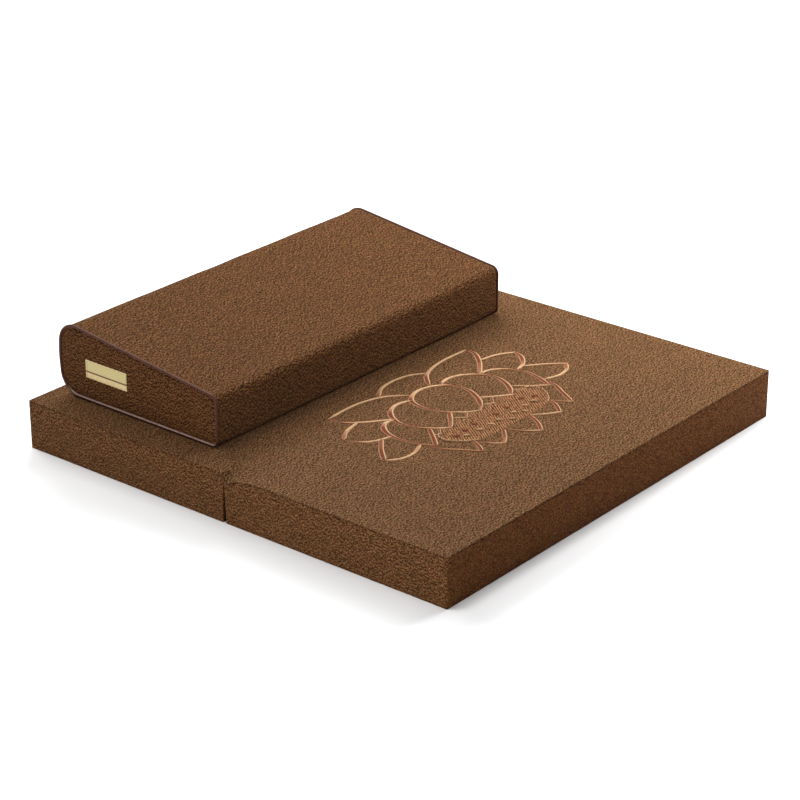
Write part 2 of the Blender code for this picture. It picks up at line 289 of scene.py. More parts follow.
class Effects:
    """The shader groups that more than one finish uses, each built once."""

    def __init__(self) -> None:
        """Builds the groups."""
        self.weave = self.build_weave()
        self.mottle = self.build_mottle()

    @staticmethod
    def build_weave() -> Tree:
        """Plain weave of melange yarns.

        Returns:
            A group that takes a place on the cloth in metres, and gives the yarns' tone, which lies about 0.5,
            and their height from 0 between yarns to 1 on a crossing.
        """
        bend_scale = 70.0
        crossing_edge = 0.12
        column_step, column_slice = 17.13, 3.1
        row_step, row_slice = 13.71, 9.4
        steep, gentle = 0.9, 0.4
        takes = {"Place": Socket.VECTOR}
        takes |= numbers("Yarn Width", "Slub Length", "Contrast", "Fleck", "Wobble", "Grain", "Grain Length")
        graph, given, out = new_group("melange weave", "ShaderNodeTree", takes, numbers("Tone", "Height"))
        bend = graph.add("ShaderNodeTexNoise", {"Vector": given["Place"], "Scale": bend_scale, "Detail": 1.0})
        bend = graph.vector("SUBTRACT", bend.outputs[1], (0.5, 0.5, 0.5))
        bend = graph.vector("MULTIPLY", bend, graph.join(given["Wobble"], given["Wobble"]))
        u, v, _ = graph.split(graph.vector("ADD", given["Place"], bend))
        u_yarn, v_yarn = (graph.calc("DIVIDE", place, given["Yarn Width"]) for place in (u, v))
        u_slub, v_slub = (graph.calc("DIVIDE", place, given["Slub Length"]) for place in (u, v))
        u_wave, v_wave = (graph.wave(yarn, 2.0) for yarn in (u_yarn, v_yarn))
        column, row = (graph.calc("FLOOR", yarn) for yarn in (u_yarn, v_yarn))
        along_v = graph.span(graph.times(u_wave, v_wave), -crossing_edge, crossing_edge)
        v_place = graph.join(graph.times(column, column_step), v_slub, column_slice)
        u_place = graph.join(u_slub, graph.times(row, row_step), row_slice)
        v_tone, u_tone = (graph.noise(place, 1.0) for place in (v_place, u_place))
        tone = graph.calc("SUBTRACT", graph.blend(along_v, u_tone, v_tone), 0.5)
        tone = graph.calc("MULTIPLY_ADD", tone, given["Contrast"], 0.5)
        cell = graph.join(column, row, 0.5)
        chance = graph.add("ShaderNodeTexWhiteNoise", {"Vector": cell}, noise_dimensions="3D").outputs[0]
        fleck = graph.times(graph.calc("SUBTRACT", chance, 0.5), given["Fleck"])
        tone = graph.calc("ADD", tone, fleck)
        cells = graph.calc("DIVIDE", 2.0, given["Grain Length"])
        spot = graph.join(*(graph.times(count, given["Yarn Width"]) for count in (column, row)))
        spot = graph.vector("MULTIPLY", spot, graph.join(cells, cells))
        streaks = {"Vector": spot, "Scale": 0.5, "Frequency": 1.0, "Anisotropy": 0.4}
        grain = graph.add("ShaderNodeTexGabor", {**streaks, "Orientation": math.pi / 2}).outputs["Value"]
        grain = graph.calc("SUBTRACT", grain, 0.5)
        graph.feed(out["Tone"], graph.calc("MULTIPLY_ADD", grain, given["Grain"], tone))
        u_steep, u_gentle, v_steep, v_gentle = (
            graph.calc("POWER", graph.calc("ABSOLUTE", wave), power)
            for wave in (u_wave, v_wave) for power in (steep, gentle)
        )
        v_over = graph.times(u_steep, v_gentle)
        u_over = graph.times(u_gentle, v_steep)
        graph.feed(out["Height"], graph.blend(along_v, u_over, v_over))
        return graph.tree

    @staticmethod
    def build_mottle() -> Tree:
        """Broad soft variation of a cloth's tone, and of its hue between reddish and olive.

        Returns:
            A group that takes a place and two strengths, and gives a tint near white.
        """
        hue_scale = 55.0
        takes = {"Place": Socket.VECTOR} | numbers("Patch", "Strength", "Hue Swing")
        graph, given, out = new_group("mottle", "ShaderNodeTree", takes, {"Tint": Socket.VECTOR})
        broad = graph.calc("SUBTRACT", graph.noise(given["Place"], given["Patch"], 3.0, 0.6), 0.5)
        swing = graph.times(broad, graph.times(given["Strength"], 2.0))
        redness = graph.calc("SUBTRACT", graph.noise(given["Place"], hue_scale, 2.0), 0.5)
        redness = graph.calc("MULTIPLY_ADD", redness, given["Hue Swing"], 1.0)
        factor = graph.calc("ADD", swing, 1.0)
        graph.feed(out["Tint"], graph.scaled(graph.join(redness, 1.0, redness), factor))
        return graph.tree


def new_material(name: str, values: dict) -> tuple[Finish, Graph, bpy.types.Node]:
    """A material with its graph and its Principled shader, whose own sockets are set to the values."""
    material = bpy.data.materials.new(name)
    material.use_nodes = True
    graph = Graph(material.node_tree)
    shader = graph.nodes["Principled BSDF"]
    for label, value in values.items():
        shader.inputs[label].default_value = opaque(value)
    return material, graph, shader


@dataclass(frozen=True)
class ClothFinish:
    """The mat's brown melange cloth, as it lies on one group of pieces.

    The dye multiplies its three shades. The pieces' dyes differ, more saturated on the mat's walls and
    darker and more saturated on the wedge: painted shade. The front tint multiplies them again on walls that
    face the front, where the grain is calmer as well. That tint is painted light, warmer and more saturated,
    and a correction that follows the photograph. That is a correction that follows the photograph, and its
    cause isn't known.
    """

    name: str
    dye_and_painted_shade: Colour
    dark: Colour = (0.022, 0.0085, 0.0030)
    middle: Colour = (0.105, 0.0500, 0.0215)
    light: Colour = (0.290, 0.1650, 0.0880)
    shade_places: tuple[float, float, float] = (0.15, 0.50, 0.87)
    yarn_width: float = 0.0014
    slub_length: float = 0.0040
    contrast: float = 0.70
    fleck: float = 0.42
    grain: float = 1.8
    grain_length: float = 0.0046
    wobble: float = 0.0006
    relief_height: float = 0.00035
    valley_shade: float = 0.62
    valley_top: float = 0.6
    patch: float = 14.0
    mottle: float = 0.10
    hue_swing: float = 0.34
    notch_shaded: bool = False
    front_painted_tint: Colour | None = None
    front_calm: float = 0.35
    front_facing: Pair = (-0.95, -0.60)
    roughness: float = 0.9
    specular: float = 0.06
    sheen: float = 0.05
    sheen_roughness: float = 0.35
    sheen_tint: Colour = (1.0, 0.82, 0.62)

    def dyed(self, shade: tuple) -> tuple:
        """A shade of the melange in this piece's dye."""
        return tuple(part * strength for part, strength in zip(shade, self.dye_and_painted_shade))

    def material(self, effects: Effects) -> Finish:
        """Builds the finish on a piece's own cloth coordinates, which are in metres."""
        material, graph, shader = new_material(self.name, {
            "Roughness": self.roughness,
            "Specular IOR Level": self.specular,
            "Sheen Weight": self.sheen,
            "Sheen Roughness": self.sheen_roughness,
            "Sheen Tint": self.sheen_tint,
        })
        place = graph.add("ShaderNodeUVMap", uv_map="cloth").outputs[0]
        grain = self.grain
        if self.front_painted_tint:
            _, facing, _ = graph.split(graph.add("ShaderNodeTexCoord").outputs["Normal"])
            front = graph.span(facing, *self.front_facing, 1.0, 0.0)
            grain = graph.span(front, 0.0, 1.0, self.grain, self.grain * self.front_calm)
        yarns = use_group(graph, effects.weave, {
            "Place": place,
            "Yarn Width": self.yarn_width,
            "Slub Length": self.slub_length,
            "Contrast": self.contrast,
            "Fleck": self.fleck,
            "Wobble": self.wobble,
            "Grain": grain,
            "Grain Length": self.grain_length,
        })
        mottle = use_group(graph, effects.mottle, {
            "Place": place,
            "Patch": self.patch,
            "Strength": self.mottle,
            "Hue Swing": self.hue_swing,
        })
        shades = (self.dyed(shade) for shade in (self.dark, self.middle, self.light))
        colour = graph.ramp(yarns.outputs["Tone"], tuple(zip(self.shade_places, shades)))
        height = yarns.outputs["Height"]
        # Painted shade in the valleys between the yarns.
        shade = graph.span(height, 0.0, self.valley_top, self.valley_shade, 1.0, "LINEAR")
        # Painted shade inside the notch, kept on the mesh.
        if self.notch_shaded:
            shade = graph.times(shade, graph.calc("SUBTRACT", 1.0, graph.kept("notch_shade")))
        colour = graph.scaled(colour, shade)
        # Painted light: a warmer, more saturated tint on walls that face the front.
        if self.front_painted_tint:
            colour = graph.vector("MULTIPLY", colour, graph.tint(front, (1.0, 1.0, 1.0), self.front_painted_tint))
        graph.feed(shader.inputs["Base Color"], graph.vector("MULTIPLY", colour, mottle.outputs["Tint"]))
        graph.emboss(shader, height, 1.0, self.relief_height)
        return material


@dataclass(frozen=True)
class ThreadFinish:
    """Glossy embroidery thread whose colour holds painted sheen, painted highlights and painted shade.

    On satin stitches the tone comes from the way that each stitch lies, and paints its sheen: rust, then
    peach, then the palest colour as the stitch's thread lies nearer the bright lie. The lit and far edges are
    painted highlights in cream, and the under value is painted shade in rust. Each edge or under value holds
    the span that it runs over, and its strength at the span's two ends.
    """

    name: str
    rust: Colour = (0.165, 0.034, 0.007)
    peach: Colour = (0.455, 0.250, 0.120)
    pale: Colour = (0.600, 0.375, 0.205)
    cream: Colour = (0.600, 0.395, 0.225)
    peach_place: float = 0.80
    unevenness: Pair = (0.80, 1.15)
    lit_edge: Ramp = (0.35, 0.75, 0.0, 0.95)
    far_highlight: Ramp = (-0.95, -0.60, 0.6, 0.0)
    far_highlight_by_tone: Ramp = (0.0, 0.4, 1.0, 0.0)
    under: Ramp = (-0.95, -0.30, 1.0, 0.0)
    under_shade_by_tone: Ramp = (0.15, 0.5, 0.0, 0.8)
    under_shade_when_pale: Ramp = (0.75, 1.0, 1.0, 0.35)
    roughness: float = 0.42
    specular: float = 0.07

    def material(self) -> Finish:
        """Builds the finish from the stitches' own attributes: tone, across and jitter."""
        values = {"Roughness": self.roughness, "Specular IOR Level": self.specular}
        material, graph, shader = new_material(self.name, values)
        tone, across, jitter = (graph.kept(attribute) for attribute in ("tone", "across", "jitter"))
        # Painted sheen: the tone runs from rust through peach to the palest colour.
        colour = graph.ramp(tone, ((0.0, self.rust), (self.peach_place, self.peach), (1.0, self.pale)))
        # Painted highlights on each stitch's lit edge and, on rust stitches, on its far edge.
        lit_edge = graph.span(across, *self.lit_edge)
        far_highlight = graph.span(across, *self.far_highlight)
        far_highlight = graph.times(far_highlight, graph.span(tone, *self.far_highlight_by_tone))
        # Painted shade in rust on the side of each stitch away from its lit edge.
        under = graph.times(graph.span(across, *self.under), graph.span(tone, *self.under_shade_by_tone))
        under = graph.times(under, graph.span(tone, *self.under_shade_when_pale))
        colour = graph.tint(under, colour, self.rust)
        colour = graph.tint(graph.calc("MAXIMUM", lit_edge, far_highlight), colour, self.cream)
        shade = graph.span(jitter, 0.0, 1.0, *self.unevenness, "LINEAR")
        graph.feed(shader.inputs["Base Color"], graph.scaled(colour, shade))
        return material


@dataclass(frozen=True)
class PipingFinish:
    """Plum-brown bias-cut cloth drawn tight over a cord.

    Its run along the mat is paler, as it is in the photograph. Its run along the mat is painted paler on
    its upward side, as it is in the photograph: painted light. The cause isn't known.
    Its downward side there is painted dark: painted shade.
    """

    name: str
    dark: Colour = (0.038, 0.0140, 0.0100)
    light: Colour = (0.135, 0.0600, 0.0400)
    # The colour of the painted light on the upward side of the run along the mat.
    pale: Colour = (0.420, 0.3000, 0.2700)
    low_run: Pair = (0.0840, 0.0960)
    facing_up: float = 0.40
    rib_length: float = 0.0011
    turns: float = 3.0
    rib_share: float = 0.5
    rib_base: float = 0.35
    rib_depth: float = 0.00012
    rib_strength: float = 0.7
    uneven_scale: float = 260.0
    unevenness: float = 1.5
    roughness: float = 0.5
    specular: float = 0.10
    specular_tint: Colour = (1.0, 0.80, 0.76)

    def material(self) -> Finish:
        """Builds slanting ribs from the attributes along, in metres, and around, from 0 to 1."""
        material, graph, shader = new_material(self.name, {
            "Roughness": self.roughness,
            "Specular IOR Level": self.specular,
            "Specular Tint": self.specular_tint,
        })
        along = graph.calc("DIVIDE", graph.kept("along"), self.rib_length)
        around = graph.times(graph.kept("around"), self.turns)
        rib = graph.raised(graph.wave(graph.calc("ADD", along, around), 1.0))
        place = graph.add("ShaderNodeTexCoord").outputs["Object"]
        uneven = graph.times(graph.noise(place, self.uneven_scale, 2.0), self.unevenness)
        share = graph.times(graph.calc("MULTIPLY_ADD", rib, self.rib_share, self.rib_base), uneven)
        _, _, level = graph.split(place)
        _, _, upward = graph.split(graph.add("ShaderNodeTexCoord").outputs["Normal"])
        # Painted light on the upward side of the run along the mat, and painted shade on its downward side.
        near_mat = graph.span(level, *self.low_run, 1.0, 0.0)
        shaded = graph.times(near_mat, graph.span(upward, 0.0, self.facing_up, 1.0, 0.0))
        paler = graph.calc("SUBTRACT", near_mat, shaded)
        valley = graph.tint(paler, self.dark, self.light)
        ridge = graph.tint(shaded, graph.tint(paler, self.light, self.pale), self.dark)
        graph.feed(shader.inputs["Base Color"], graph.tint(share, valley, ridge))
        graph.emboss(shader, rib, self.rib_strength, self.rib_depth)
        return material


@dataclass(frozen=True)
class LabelFinish:
    """Khaki woven tape with one thin rust line, slanting ribs below it, and a paler turned-in end.

    Levels are shares of the label's height, and the other lengths are in metres.
    """

    name: str
    length: float
    height: float
    khaki: Colour = (0.66, 0.55, 0.25)
    shade: Colour = (0.46, 0.38, 0.15)
    cream: Colour = (0.80, 0.64, 0.34)
    tan: Colour = (0.50, 0.35, 0.13)
    rust: Colour = (0.145, 0.046, 0.010)
    warp_length: float = 0.0007
    weft_length: float = 0.0008
    slant_length: float = 0.0046
    rib_depth: float = 0.00012
    rib_strength: float = 0.6
    rib_share: float = 0.25
    slant_share: float = 0.40
    uneven_scale: float = 330.0
    field_unevenness: Pair = (1.1, -0.45)
    lower_unevenness: Pair = (1.5, -0.62)
    line_level: float = 0.355
    line_half_width: float = 0.047
    lower_gap: Pair = (0.05, 0.03)
    turned_in: float = 0.0028
    fold_width: Pair = (0.0006, 0.0014)
    fold_strength: float = 0.9
    top_edge: Ramp = (0.93, 0.99, 0.0, 0.7)
    roughness: float = 0.6
    sheen: float = 0.05

    def material(self) -> Finish:
        """Builds the bands from the label's own coordinates, in metres from its lower front corner."""
        values = {"Roughness": self.roughness, "Sheen Weight": self.sheen}
        material, graph, shader = new_material(self.name, values)
        place = graph.add("ShaderNodeUVMap", uv_map="cloth").outputs[0]
        u, v, _ = graph.split(place)
        level = graph.calc("DIVIDE", v, self.height)
        ribs = graph.times(graph.wave(u, self.warp_length), graph.wave(v, self.weft_length))
        ribs = graph.raised(ribs)
        slant = graph.raised(graph.wave(graph.calc("ADD", u, v), self.slant_length))
        below, above = (self.line_level - gap for gap in self.lower_gap)
        lower = graph.span(level, below, above, 1.0, 0.0)
        uneven = graph.noise(place, self.uneven_scale, 2.0)
        plain, slanted = (
            graph.calc("MULTIPLY_ADD", pattern, share, graph.calc("MULTIPLY_ADD", uneven, *unevenness))
            for pattern, share, unevenness in (
                (ribs, self.rib_share, self.field_unevenness),
                (slant, self.slant_share, self.lower_unevenness),
            )
        )
        field = graph.tint(plain, self.khaki, self.shade)
        colour = graph.tint(lower, field, graph.tint(slanted, self.cream, self.tan))
        from_end = graph.calc("SUBTRACT", self.length, u)
        end_strip = graph.span(from_end, self.turned_in * 0.6, self.turned_in * 0.9, 1.0, 0.0)
        on_fold = graph.span(graph.apart(from_end, self.turned_in), *self.fold_width, self.fold_strength, 0.0)
        off_line = graph.apart(level, self.line_level)
        on_line = graph.span(off_line, self.line_half_width * 0.7, self.line_half_width * 1.2, 1.0, 0.0)
        top_edge = graph.span(level, *self.top_edge)
        for share, paint in ((end_strip, self.cream), (on_fold, self.shade), (on_line, self.rust),
                             (top_edge, self.cream)):
            colour = graph.tint(share, colour, paint)
        graph.feed(shader.inputs["Base Color"], colour)
        graph.emboss(shader, graph.blend(lower, ribs, slant), self.rib_strength, self.rib_depth)
        return material


def add_object(name: str, data: bpy.types.ID) -> Piece:
    """Places new data in the scene, at the origin."""
    thing = bpy.data.objects.new(name, data)
    bpy.context.scene.collection.objects.link(thing)
    return thing


@dataclass
class Skin:
    """A closed or open surface made of rows of points, with cloth coordinates for each band of rows."""

    name: str
    rows: list
    cloth: list
    ring: bool = True
    close_start: bool = False
    close_end: bool = False

    def build(self, material: Finish, flip: bool = False) -> Piece:
        """Makes the object.

        The rows run along the surface, and each has the same count of points. cloth holds one array for each
        strip between two rows, of shape (2, points, 2), with one point more than a row where it is a ring.

        Args:
            material: the finish of the whole surface.
            flip: turns the faces round.

        Returns:
            The object, at the origin.
        """
        points = np.concatenate(self.rows)
        count = len(self.rows[0])
        spans = count if self.ring else count - 1
        faces = []
        coordinates = []
        for strip in range(len(self.rows) - 1):
            place = self.cloth[strip]
            base = strip * count
            for column in range(spans):
                after = (column + 1) % count
                corners = (base + column, base + after, base + count + after, base + count + column)
                spots = (place[0][column], place[0][column + 1], place[1][column + 1], place[1][column])
                faces.append(corners[::-1] if flip else corners)
                coordinates.extend(spots[::-1] if flip else spots)
        if self.close_start:
            corners = list(range(count))[::-1]
            faces.append(corners[::-1] if flip else corners)
            coordinates.extend(self.cloth[0][0][corner] for corner in faces[-1])
        if self.close_end:
            base = (len(self.rows) - 1) * count
            corners = list(range(base, base + count))
            faces.append(corners[::-1] if flip else corners)
            coordinates.extend(self.cloth[-1][1][corner - base] for corner in faces[-1])
        mesh = bpy.data.meshes.new(self.name)
        mesh.from_pydata(points.tolist(), [], faces)
        layer = mesh.uv_layers.new(name="cloth")
        layer.data.foreach_set("uv", np.array(coordinates, np.float32).ravel())
        mesh.materials.append(material)
        mesh.shade_smooth()
        mesh.validate()
        return add_object(self.name, mesh)


def bands(spots: list) -> list:
    """The cloth coordinates of each strip between two neighbouring rows."""
    return [np.stack([first, second]) for first, second in zip(spots[:-1], spots[1:])]


def closed(row: Array) -> Array:
    """A ring's points with the first repeated at the end."""
    return np.concatenate([row, row[:1]])


def along_ring(row: Array) -> Array:
    """Distances along a ring from its first point, ending with the whole way round."""
    steps = np.linalg.norm(np.diff(closed(row), axis=0), axis=1)
    return np.concatenate([[0.0], np.cumsum(steps)])


def add_thickness(thing: Piece, thickness: float) -> None:
    """Grows a cloth's thickness behind its face."""
    wall = thing.modifiers.new("thickness", "SOLIDIFY")
    wall.thickness = thickness
    wall.offset = -1.0
    wall.use_quality_normals = True


def settle(piece: Piece, slot: str, *nodes: str) -> None:
    """Rides a piece on the body, and hides the solids that it stands for."""
    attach(piece, BODY)
    if nodes:
        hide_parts(*nodes)
    log.info("%s: %d faces", piece.name, len(piece.data.polygons))


@dataclass(frozen=True)
class MatForm:
    """The mat's outer form: a crowned square whose front half sinks beside the notch at the left end."""

    half: float
    edge_height: float
    crown: float = 0.0014
    crown_reach: float = 0.110
    corner_radius: float = 0.0018
    notch_radius: float = 0.0009
    cloth_thickness: float = 0.0018
    gap: float = 0.0003
    fold_y: float = 0.003
    notch_foot: float = 0.0058
    notch_top: float = 0.0019
    notch_power: float = 1.3
    notch_reach: float = 0.012
    dip: float = 0.0130
    dip_shoulder: float = 0.0040
    dip_along: float = 0.085
    dip_inward: float = 0.036
    dip_along_power: float = 2.7
    dip_inward_power: float = 2.0
    dip_front_share: float = 1.12
    dip_back_share: float = 1.45
    bulge: float = 0.0020
    bulge_reach: float = 0.150
    unevenness: float = 0.00022
    uneven_wave: float = 0.19
    uneven_most: float = 0.0001
    calm_reach: float = 0.05

    @classmethod
    def from_frame(cls) -> "MatForm":
        """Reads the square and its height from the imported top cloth."""
        low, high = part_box("mat_top_cloth")
        return cls(half=(high.x - low.x) / 2, edge_height=high.z - cls.crown)

    def crown_at(self, x: Array, y: Array) -> Array:
        """The filling's rise from the outer edges towards the middle."""
        from_side = (self.half - np.abs(x)) / self.crown_reach
        from_end = (self.half - np.abs(y)) / self.crown_reach
        return self.crown * smoothstep(from_side) * smoothstep(from_end)

    def dip_at(self, x: Array, y: Array) -> Array:
        """How far the cloth sinks beside the notch at the fold's left end."""
        past = y - self.fold_y
        slope = np.maximum(0.0, 1.0 + (past + self.dip_shoulder) / self.dip_along) ** self.dip_along_power
        climb = 1.0 - smoothstep((past + self.dip_shoulder) / (2 * self.dip_shoulder))
        along = np.where(past <= -self.dip_shoulder, slope, climb)
        inward = np.maximum(0.0, 1.0 - (x + self.half) / self.dip_inward) ** self.dip_inward_power
        return self.dip * along * np.minimum(inward, 1.0)

    def top_at(self, x: Array, y: Array) -> Array:
        """The top cloth's height, with the slight unevenness of the filling under it."""
        calm = smoothstep((self.half - np.maximum(np.abs(x), np.abs(y))) / self.calm_reach)
        uneven = np.minimum(self.unevenness * relief(x, y, self.uneven_wave, 1.3) * calm, self.uneven_most)
        return self.edge_height + self.crown_at(x, y) - self.dip_at(x, y) + uneven

    def panel_at(self, x: Array, y: Array) -> Array:
        """A filled half's own height under the cloth."""
        front_y = np.minimum(y, self.fold_y - self.dip_shoulder)
        front = self.dip_front_share * self.dip_at(x, front_y)
        back = self.dip_back_share * self.dip_at(x, y)
        sink = np.where(y < self.fold_y, front, back)
        return self.edge_height + self.crown_at(x, y) - sink - self.cloth_thickness - self.gap


@dataclass
class TopCloth:
    """One cloth over both halves, turned down a little at its outer edges to the seam."""

    form: MatForm
    step: float = 0.0052
    fine_step: float = 0.0011
    fine_reach: float = 0.007
    roll_radius: float = 0.0009
    hem_drop: float = 0.0004
    shoulder_hem: float = 0.0080
    shoulder_reach: float = 0.0055
    slack_share: float = 0.7
    slack_reach: float = 0.06
    thickness: float = 0.0008
    roll_steps: int = 5
    fold_places: tuple = (-0.0055, -0.003, -0.0015, 0.0, 0.0015, 0.003, 0.0055)
    fold_room: float = 0.0075

    def stations(self) -> tuple[Array, Array]:
        """Places across the flat part of one side, and the further steps round the edge."""
        flat = self.form.half - self.form.corner_radius
        coarse = np.linspace(0.0, flat - self.fine_reach, round((flat - self.fine_reach) / self.step) + 1)
        fine = np.arange(flat - self.fine_reach + self.fine_step, flat - self.fine_step / 2, self.fine_step)
        half_side = np.concatenate([coarse, fine, [flat]])
        arc = math.pi / 2 * self.roll_radius
        level = self.form.corner_radius - self.roll_radius
        beyond = np.concatenate([
            np.linspace(0.0, level, 3)[1:],
            level + np.linspace(0.0, arc, self.roll_steps + 1)[1:],
            [level + arc + self.hem_drop],
        ])
        return half_side, beyond

    def roll(self, s: Array) -> tuple[Array, Array]:
        """How far out and how far down a point lies that is s beyond the corner's centre."""
        level = self.form.corner_radius - self.roll_radius
        turn = np.clip((s - level) / self.roll_radius, 0.0, math.pi / 2)
        out = np.minimum(s, level) + self.roll_radius * np.sin(turn)
        hang = np.maximum(0.0, s - level - self.roll_radius * math.pi / 2)
        return out, self.roll_radius * (1 - np.cos(turn)) + hang

    def slack_at(self, x: Array, y: Array) -> Array:
        """How much further the cloth runs than the mat's length, where it climbs out of the dip."""
        lowest = self.form.fold_y - self.form.dip_shoulder
        climb = self.form.dip_at(x, np.full_like(y, lowest)) - self.form.dip_at(x, y)
        fade = np.exp(-np.maximum(0.0, y - self.form.fold_y) / self.slack_reach)
        return np.where(y > lowest, self.slack_share * climb * fade, 0.0)

    def build(self, material: Finish) -> Piece:
        """Makes the cloth as one grid whose outer lines run round the edges."""
        half_side, beyond = self.stations()
        flat = half_side[-1]
        line = np.concatenate([half_side, flat + beyond])
        over_fold = self.form.fold_y + np.array(self.fold_places)
        u_line = np.concatenate([-line[:0:-1], line])
        middle = u_line[np.abs(u_line - self.form.fold_y) > self.fold_room]
        v_line = np.sort(np.concatenate([middle, over_fold]))
        v, u = np.meshgrid(v_line, u_line, indexing="ij")
        over_u = np.maximum(0.0, np.abs(u) - flat)
        over_v = np.maximum(0.0, np.abs(v) - flat)
        s = np.maximum(over_u, over_v)
        angle = np.where(
            over_u >= over_v,
            np.divide(over_v, over_u, out=np.zeros_like(s), where=over_u > 0) * math.pi / 4,
            math.pi / 2 - np.divide(over_u, over_v, out=np.zeros_like(s), where=over_v > 0) * math.pi / 4,
        )
        out, down = self.roll(s)
        x = np.sign(u) * (np.minimum(np.abs(u), flat) + out * np.cos(angle) * (s > 0))
        y = np.sign(v) * (np.minimum(np.abs(v), flat) + out * np.sin(angle) * (s > 0))
        z = self.form.top_at(x, y) - down
        near_fold = np.exp(-(((y - self.form.fold_y) / self.shoulder_reach) ** 2))
        hang = self.shoulder_hem * near_fold * (u == u_line[0])
        grid = np.stack([x, y, z - hang], axis=2)
        place = np.stack([u - hang, v + self.slack_at(x, y)], axis=2)
        piece = Skin("mat_top", list(grid), bands(place), ring=False).build(material)
        add_thickness(piece, self.thickness)
        return piece


@dataclass
class Panel:
    """One filled half of the mat in its side walls and base cloth."""

    form: MatForm
    half: Half
    spacing: float = 0.0045
    foot_radius: float = 0.0007
    head_radius: float = 0.0009
    rim_steps: int = 3
    cap_scales: tuple = (0.996, 0.985, 0.965, 0.94, 0.90, 0.85, 0.78, 0.62, 0.4, 0.15)
    levels: tuple = (0.05, 0.10, 0.16, 0.23, 0.30, 0.37, 0.43, 0.465, 0.483, 0.50, 0.517, 0.535, 0.57, 0.63,
                     0.70, 0.77, 0.84, 0.90, 0.95)
    crowding: float = 0.20
    wall_relief: float = 0.00035
    wall_relief_most: float = 0.00012
    wall_wave: float = 0.075
    crease_height: float = 0.00090
    crease_width: float = 0.0011
    creases: tuple = ((0.50, 1.0, 0.03), (0.30, 0.45, -0.02), (0.14, 0.35, 0.015))
    front_crease_reach: float = 0.062
    back_crease_reach: float = 0.038
    # The painted shade inside the notch: its strength, and where it starts and fades.
    notch_shade: float = 0.85
    shade_inset: float = 0.0003
    shade_reach: float = 0.0025
    shade_half_width: float = 0.0032
    shade_fade: float = 0.0010
    straight: float = 0.99
    calm_reach: float = 0.02

    def outline(self) -> tuple[Array, Array]:
        """Points round the half, seen from above against the clock, and their outward directions."""
        form = self.form
        low_y, high_y = sorted((form.fold_y, self.half.value * form.half))
        corners = (
            (form.half, low_y, -90),
            (form.half, high_y, 0),
            (-form.half, high_y, 90),
            (-form.half, low_y, 180),
        )
        points = []
        normals = []
        for index, (x, y, start) in enumerate(corners):
            radius = self.corner_radius(y)
            centre = np.array([x - math.copysign(radius, x), y + (radius if y == low_y else -radius)])
            for degrees in (0, 30, 60, 90):
                angle = math.radians(start + degrees)
                normal = np.array([math.cos(angle), math.sin(angle)])
                points.append(centre + radius * normal)
                normals.append(normal)
            next_x, next_y, _ = corners[(index + 1) % 4]
            radius = self.corner_radius(next_y)
            begin = points[-1]
            if index % 2 == 0:
                end = np.array([begin[0], next_y - math.copysign(radius, next_y - y)])
            else:
                end = np.array([next_x - math.copysign(radius, next_x - x), begin[1]])
            share = self.spread(float(np.linalg.norm(end - begin)))
            for t in share:
                points.append(begin + (end - begin) * t)
                normals.append(normals[-1])
        return np.array(points), np.array(normals)

    def corner_radius(self, y: float) -> float:
        """The upright corner's radius, which is smaller beside the notch."""
        return self.form.notch_radius if y == self.form.fold_y else self.form.corner_radius

    def spread(self, length: float) -> Array:
        """Shares along a straight side, closer together near its ends."""
        count = max(4, round(length / self.spacing))
        t = np.linspace(0.0, 1.0, count + 1)[1:-1]
        return t - self.crowding * np.sin(2 * math.pi * t) / (2 * math.pi)

    def wall_point(self, outline: Array, normals: Array, level: float, inset: float) -> Array:
        """The outline at a level of the wall, with its swell, the notch and the cloth's unevenness."""
        form = self.form
        side = self.half.value
        flat = outline - normals * inset
        to_side = form.half - np.abs(outline[:, 0])
        to_end = form.half - np.abs(outline[:, 1])
        to_notch = np.abs(outline[:, 1] - form.fold_y)
        swell = form.bulge * (1.0 - (2.0 * level - 1.0) ** 2)
        along_x = smoothstep(np.minimum(to_end, to_notch) / form.bulge_reach)
        along_y = smoothstep(to_side / form.bulge_reach)
        on_side = np.abs(normals[:, 0]) > self.straight
        on_end = (np.abs(normals[:, 1]) > self.straight) & (to_notch > 0.01)
        near_notch = 1.0 - smoothstep((to_notch - form.notch_radius) / form.notch_reach)
        grip = math.sin(math.pi * min(max(level, 0.0), 1.0)) ** 0.6
        height = level * form.edge_height
        out = np.where(on_side, swell * along_x, 0.0) + np.where(on_end, swell * along_y, 0.0)
        place = outline[:, 0] + outline[:, 1] * 1.3
        rough = self.wall_relief * relief(place, np.full_like(place, height), self.wall_wave, 3.0 + side)
        calm = smoothstep(np.minimum(np.maximum(to_side, to_end), to_notch) / self.calm_reach)
        rough = np.minimum(rough, self.wall_relief_most) * calm
        out = out + rough * grip * (on_side | on_end) + self.crease(outline, normals, height)
        point = np.empty((len(outline), 3))
        point[:, :2] = flat + normals * out[:, None]
        widening = (form.notch_foot - form.notch_top) * (1.0 - min(level, 1.0)) ** form.notch_power
        point[:, 1] += side * near_notch * (form.notch_top + widening) / 2
        point[:, 2] = height
        return point

    def crease(self, outline: Array, normals: Array, height: float) -> Array:
        """Faint ridges beside two corners, on the front wall at its left and on the left wall at its back.

        Each of the creases is (level, share of the full height, lean along the wall).
        """
        form = self.form
        if self.half is Half.FRONT:
            on_wall = normals[:, 1] < -self.straight
            away = outline[:, 0] + form.half
            reach = self.front_crease_reach
        else:
            on_wall = normals[:, 0] < -self.straight
            away = form.half - outline[:, 1]
            reach = self.back_crease_reach
        fade = smoothstep(away / 0.004) * (1.0 - smoothstep(away / reach))
        ridge = np.zeros(len(outline))
        for level, share, lean in self.creases:
            place = level * form.edge_height + lean * away
            ridge += share * np.exp(-(((height - place) / self.crease_width) ** 2))
        return np.where(on_wall, self.crease_height * ridge * fade, 0.0)

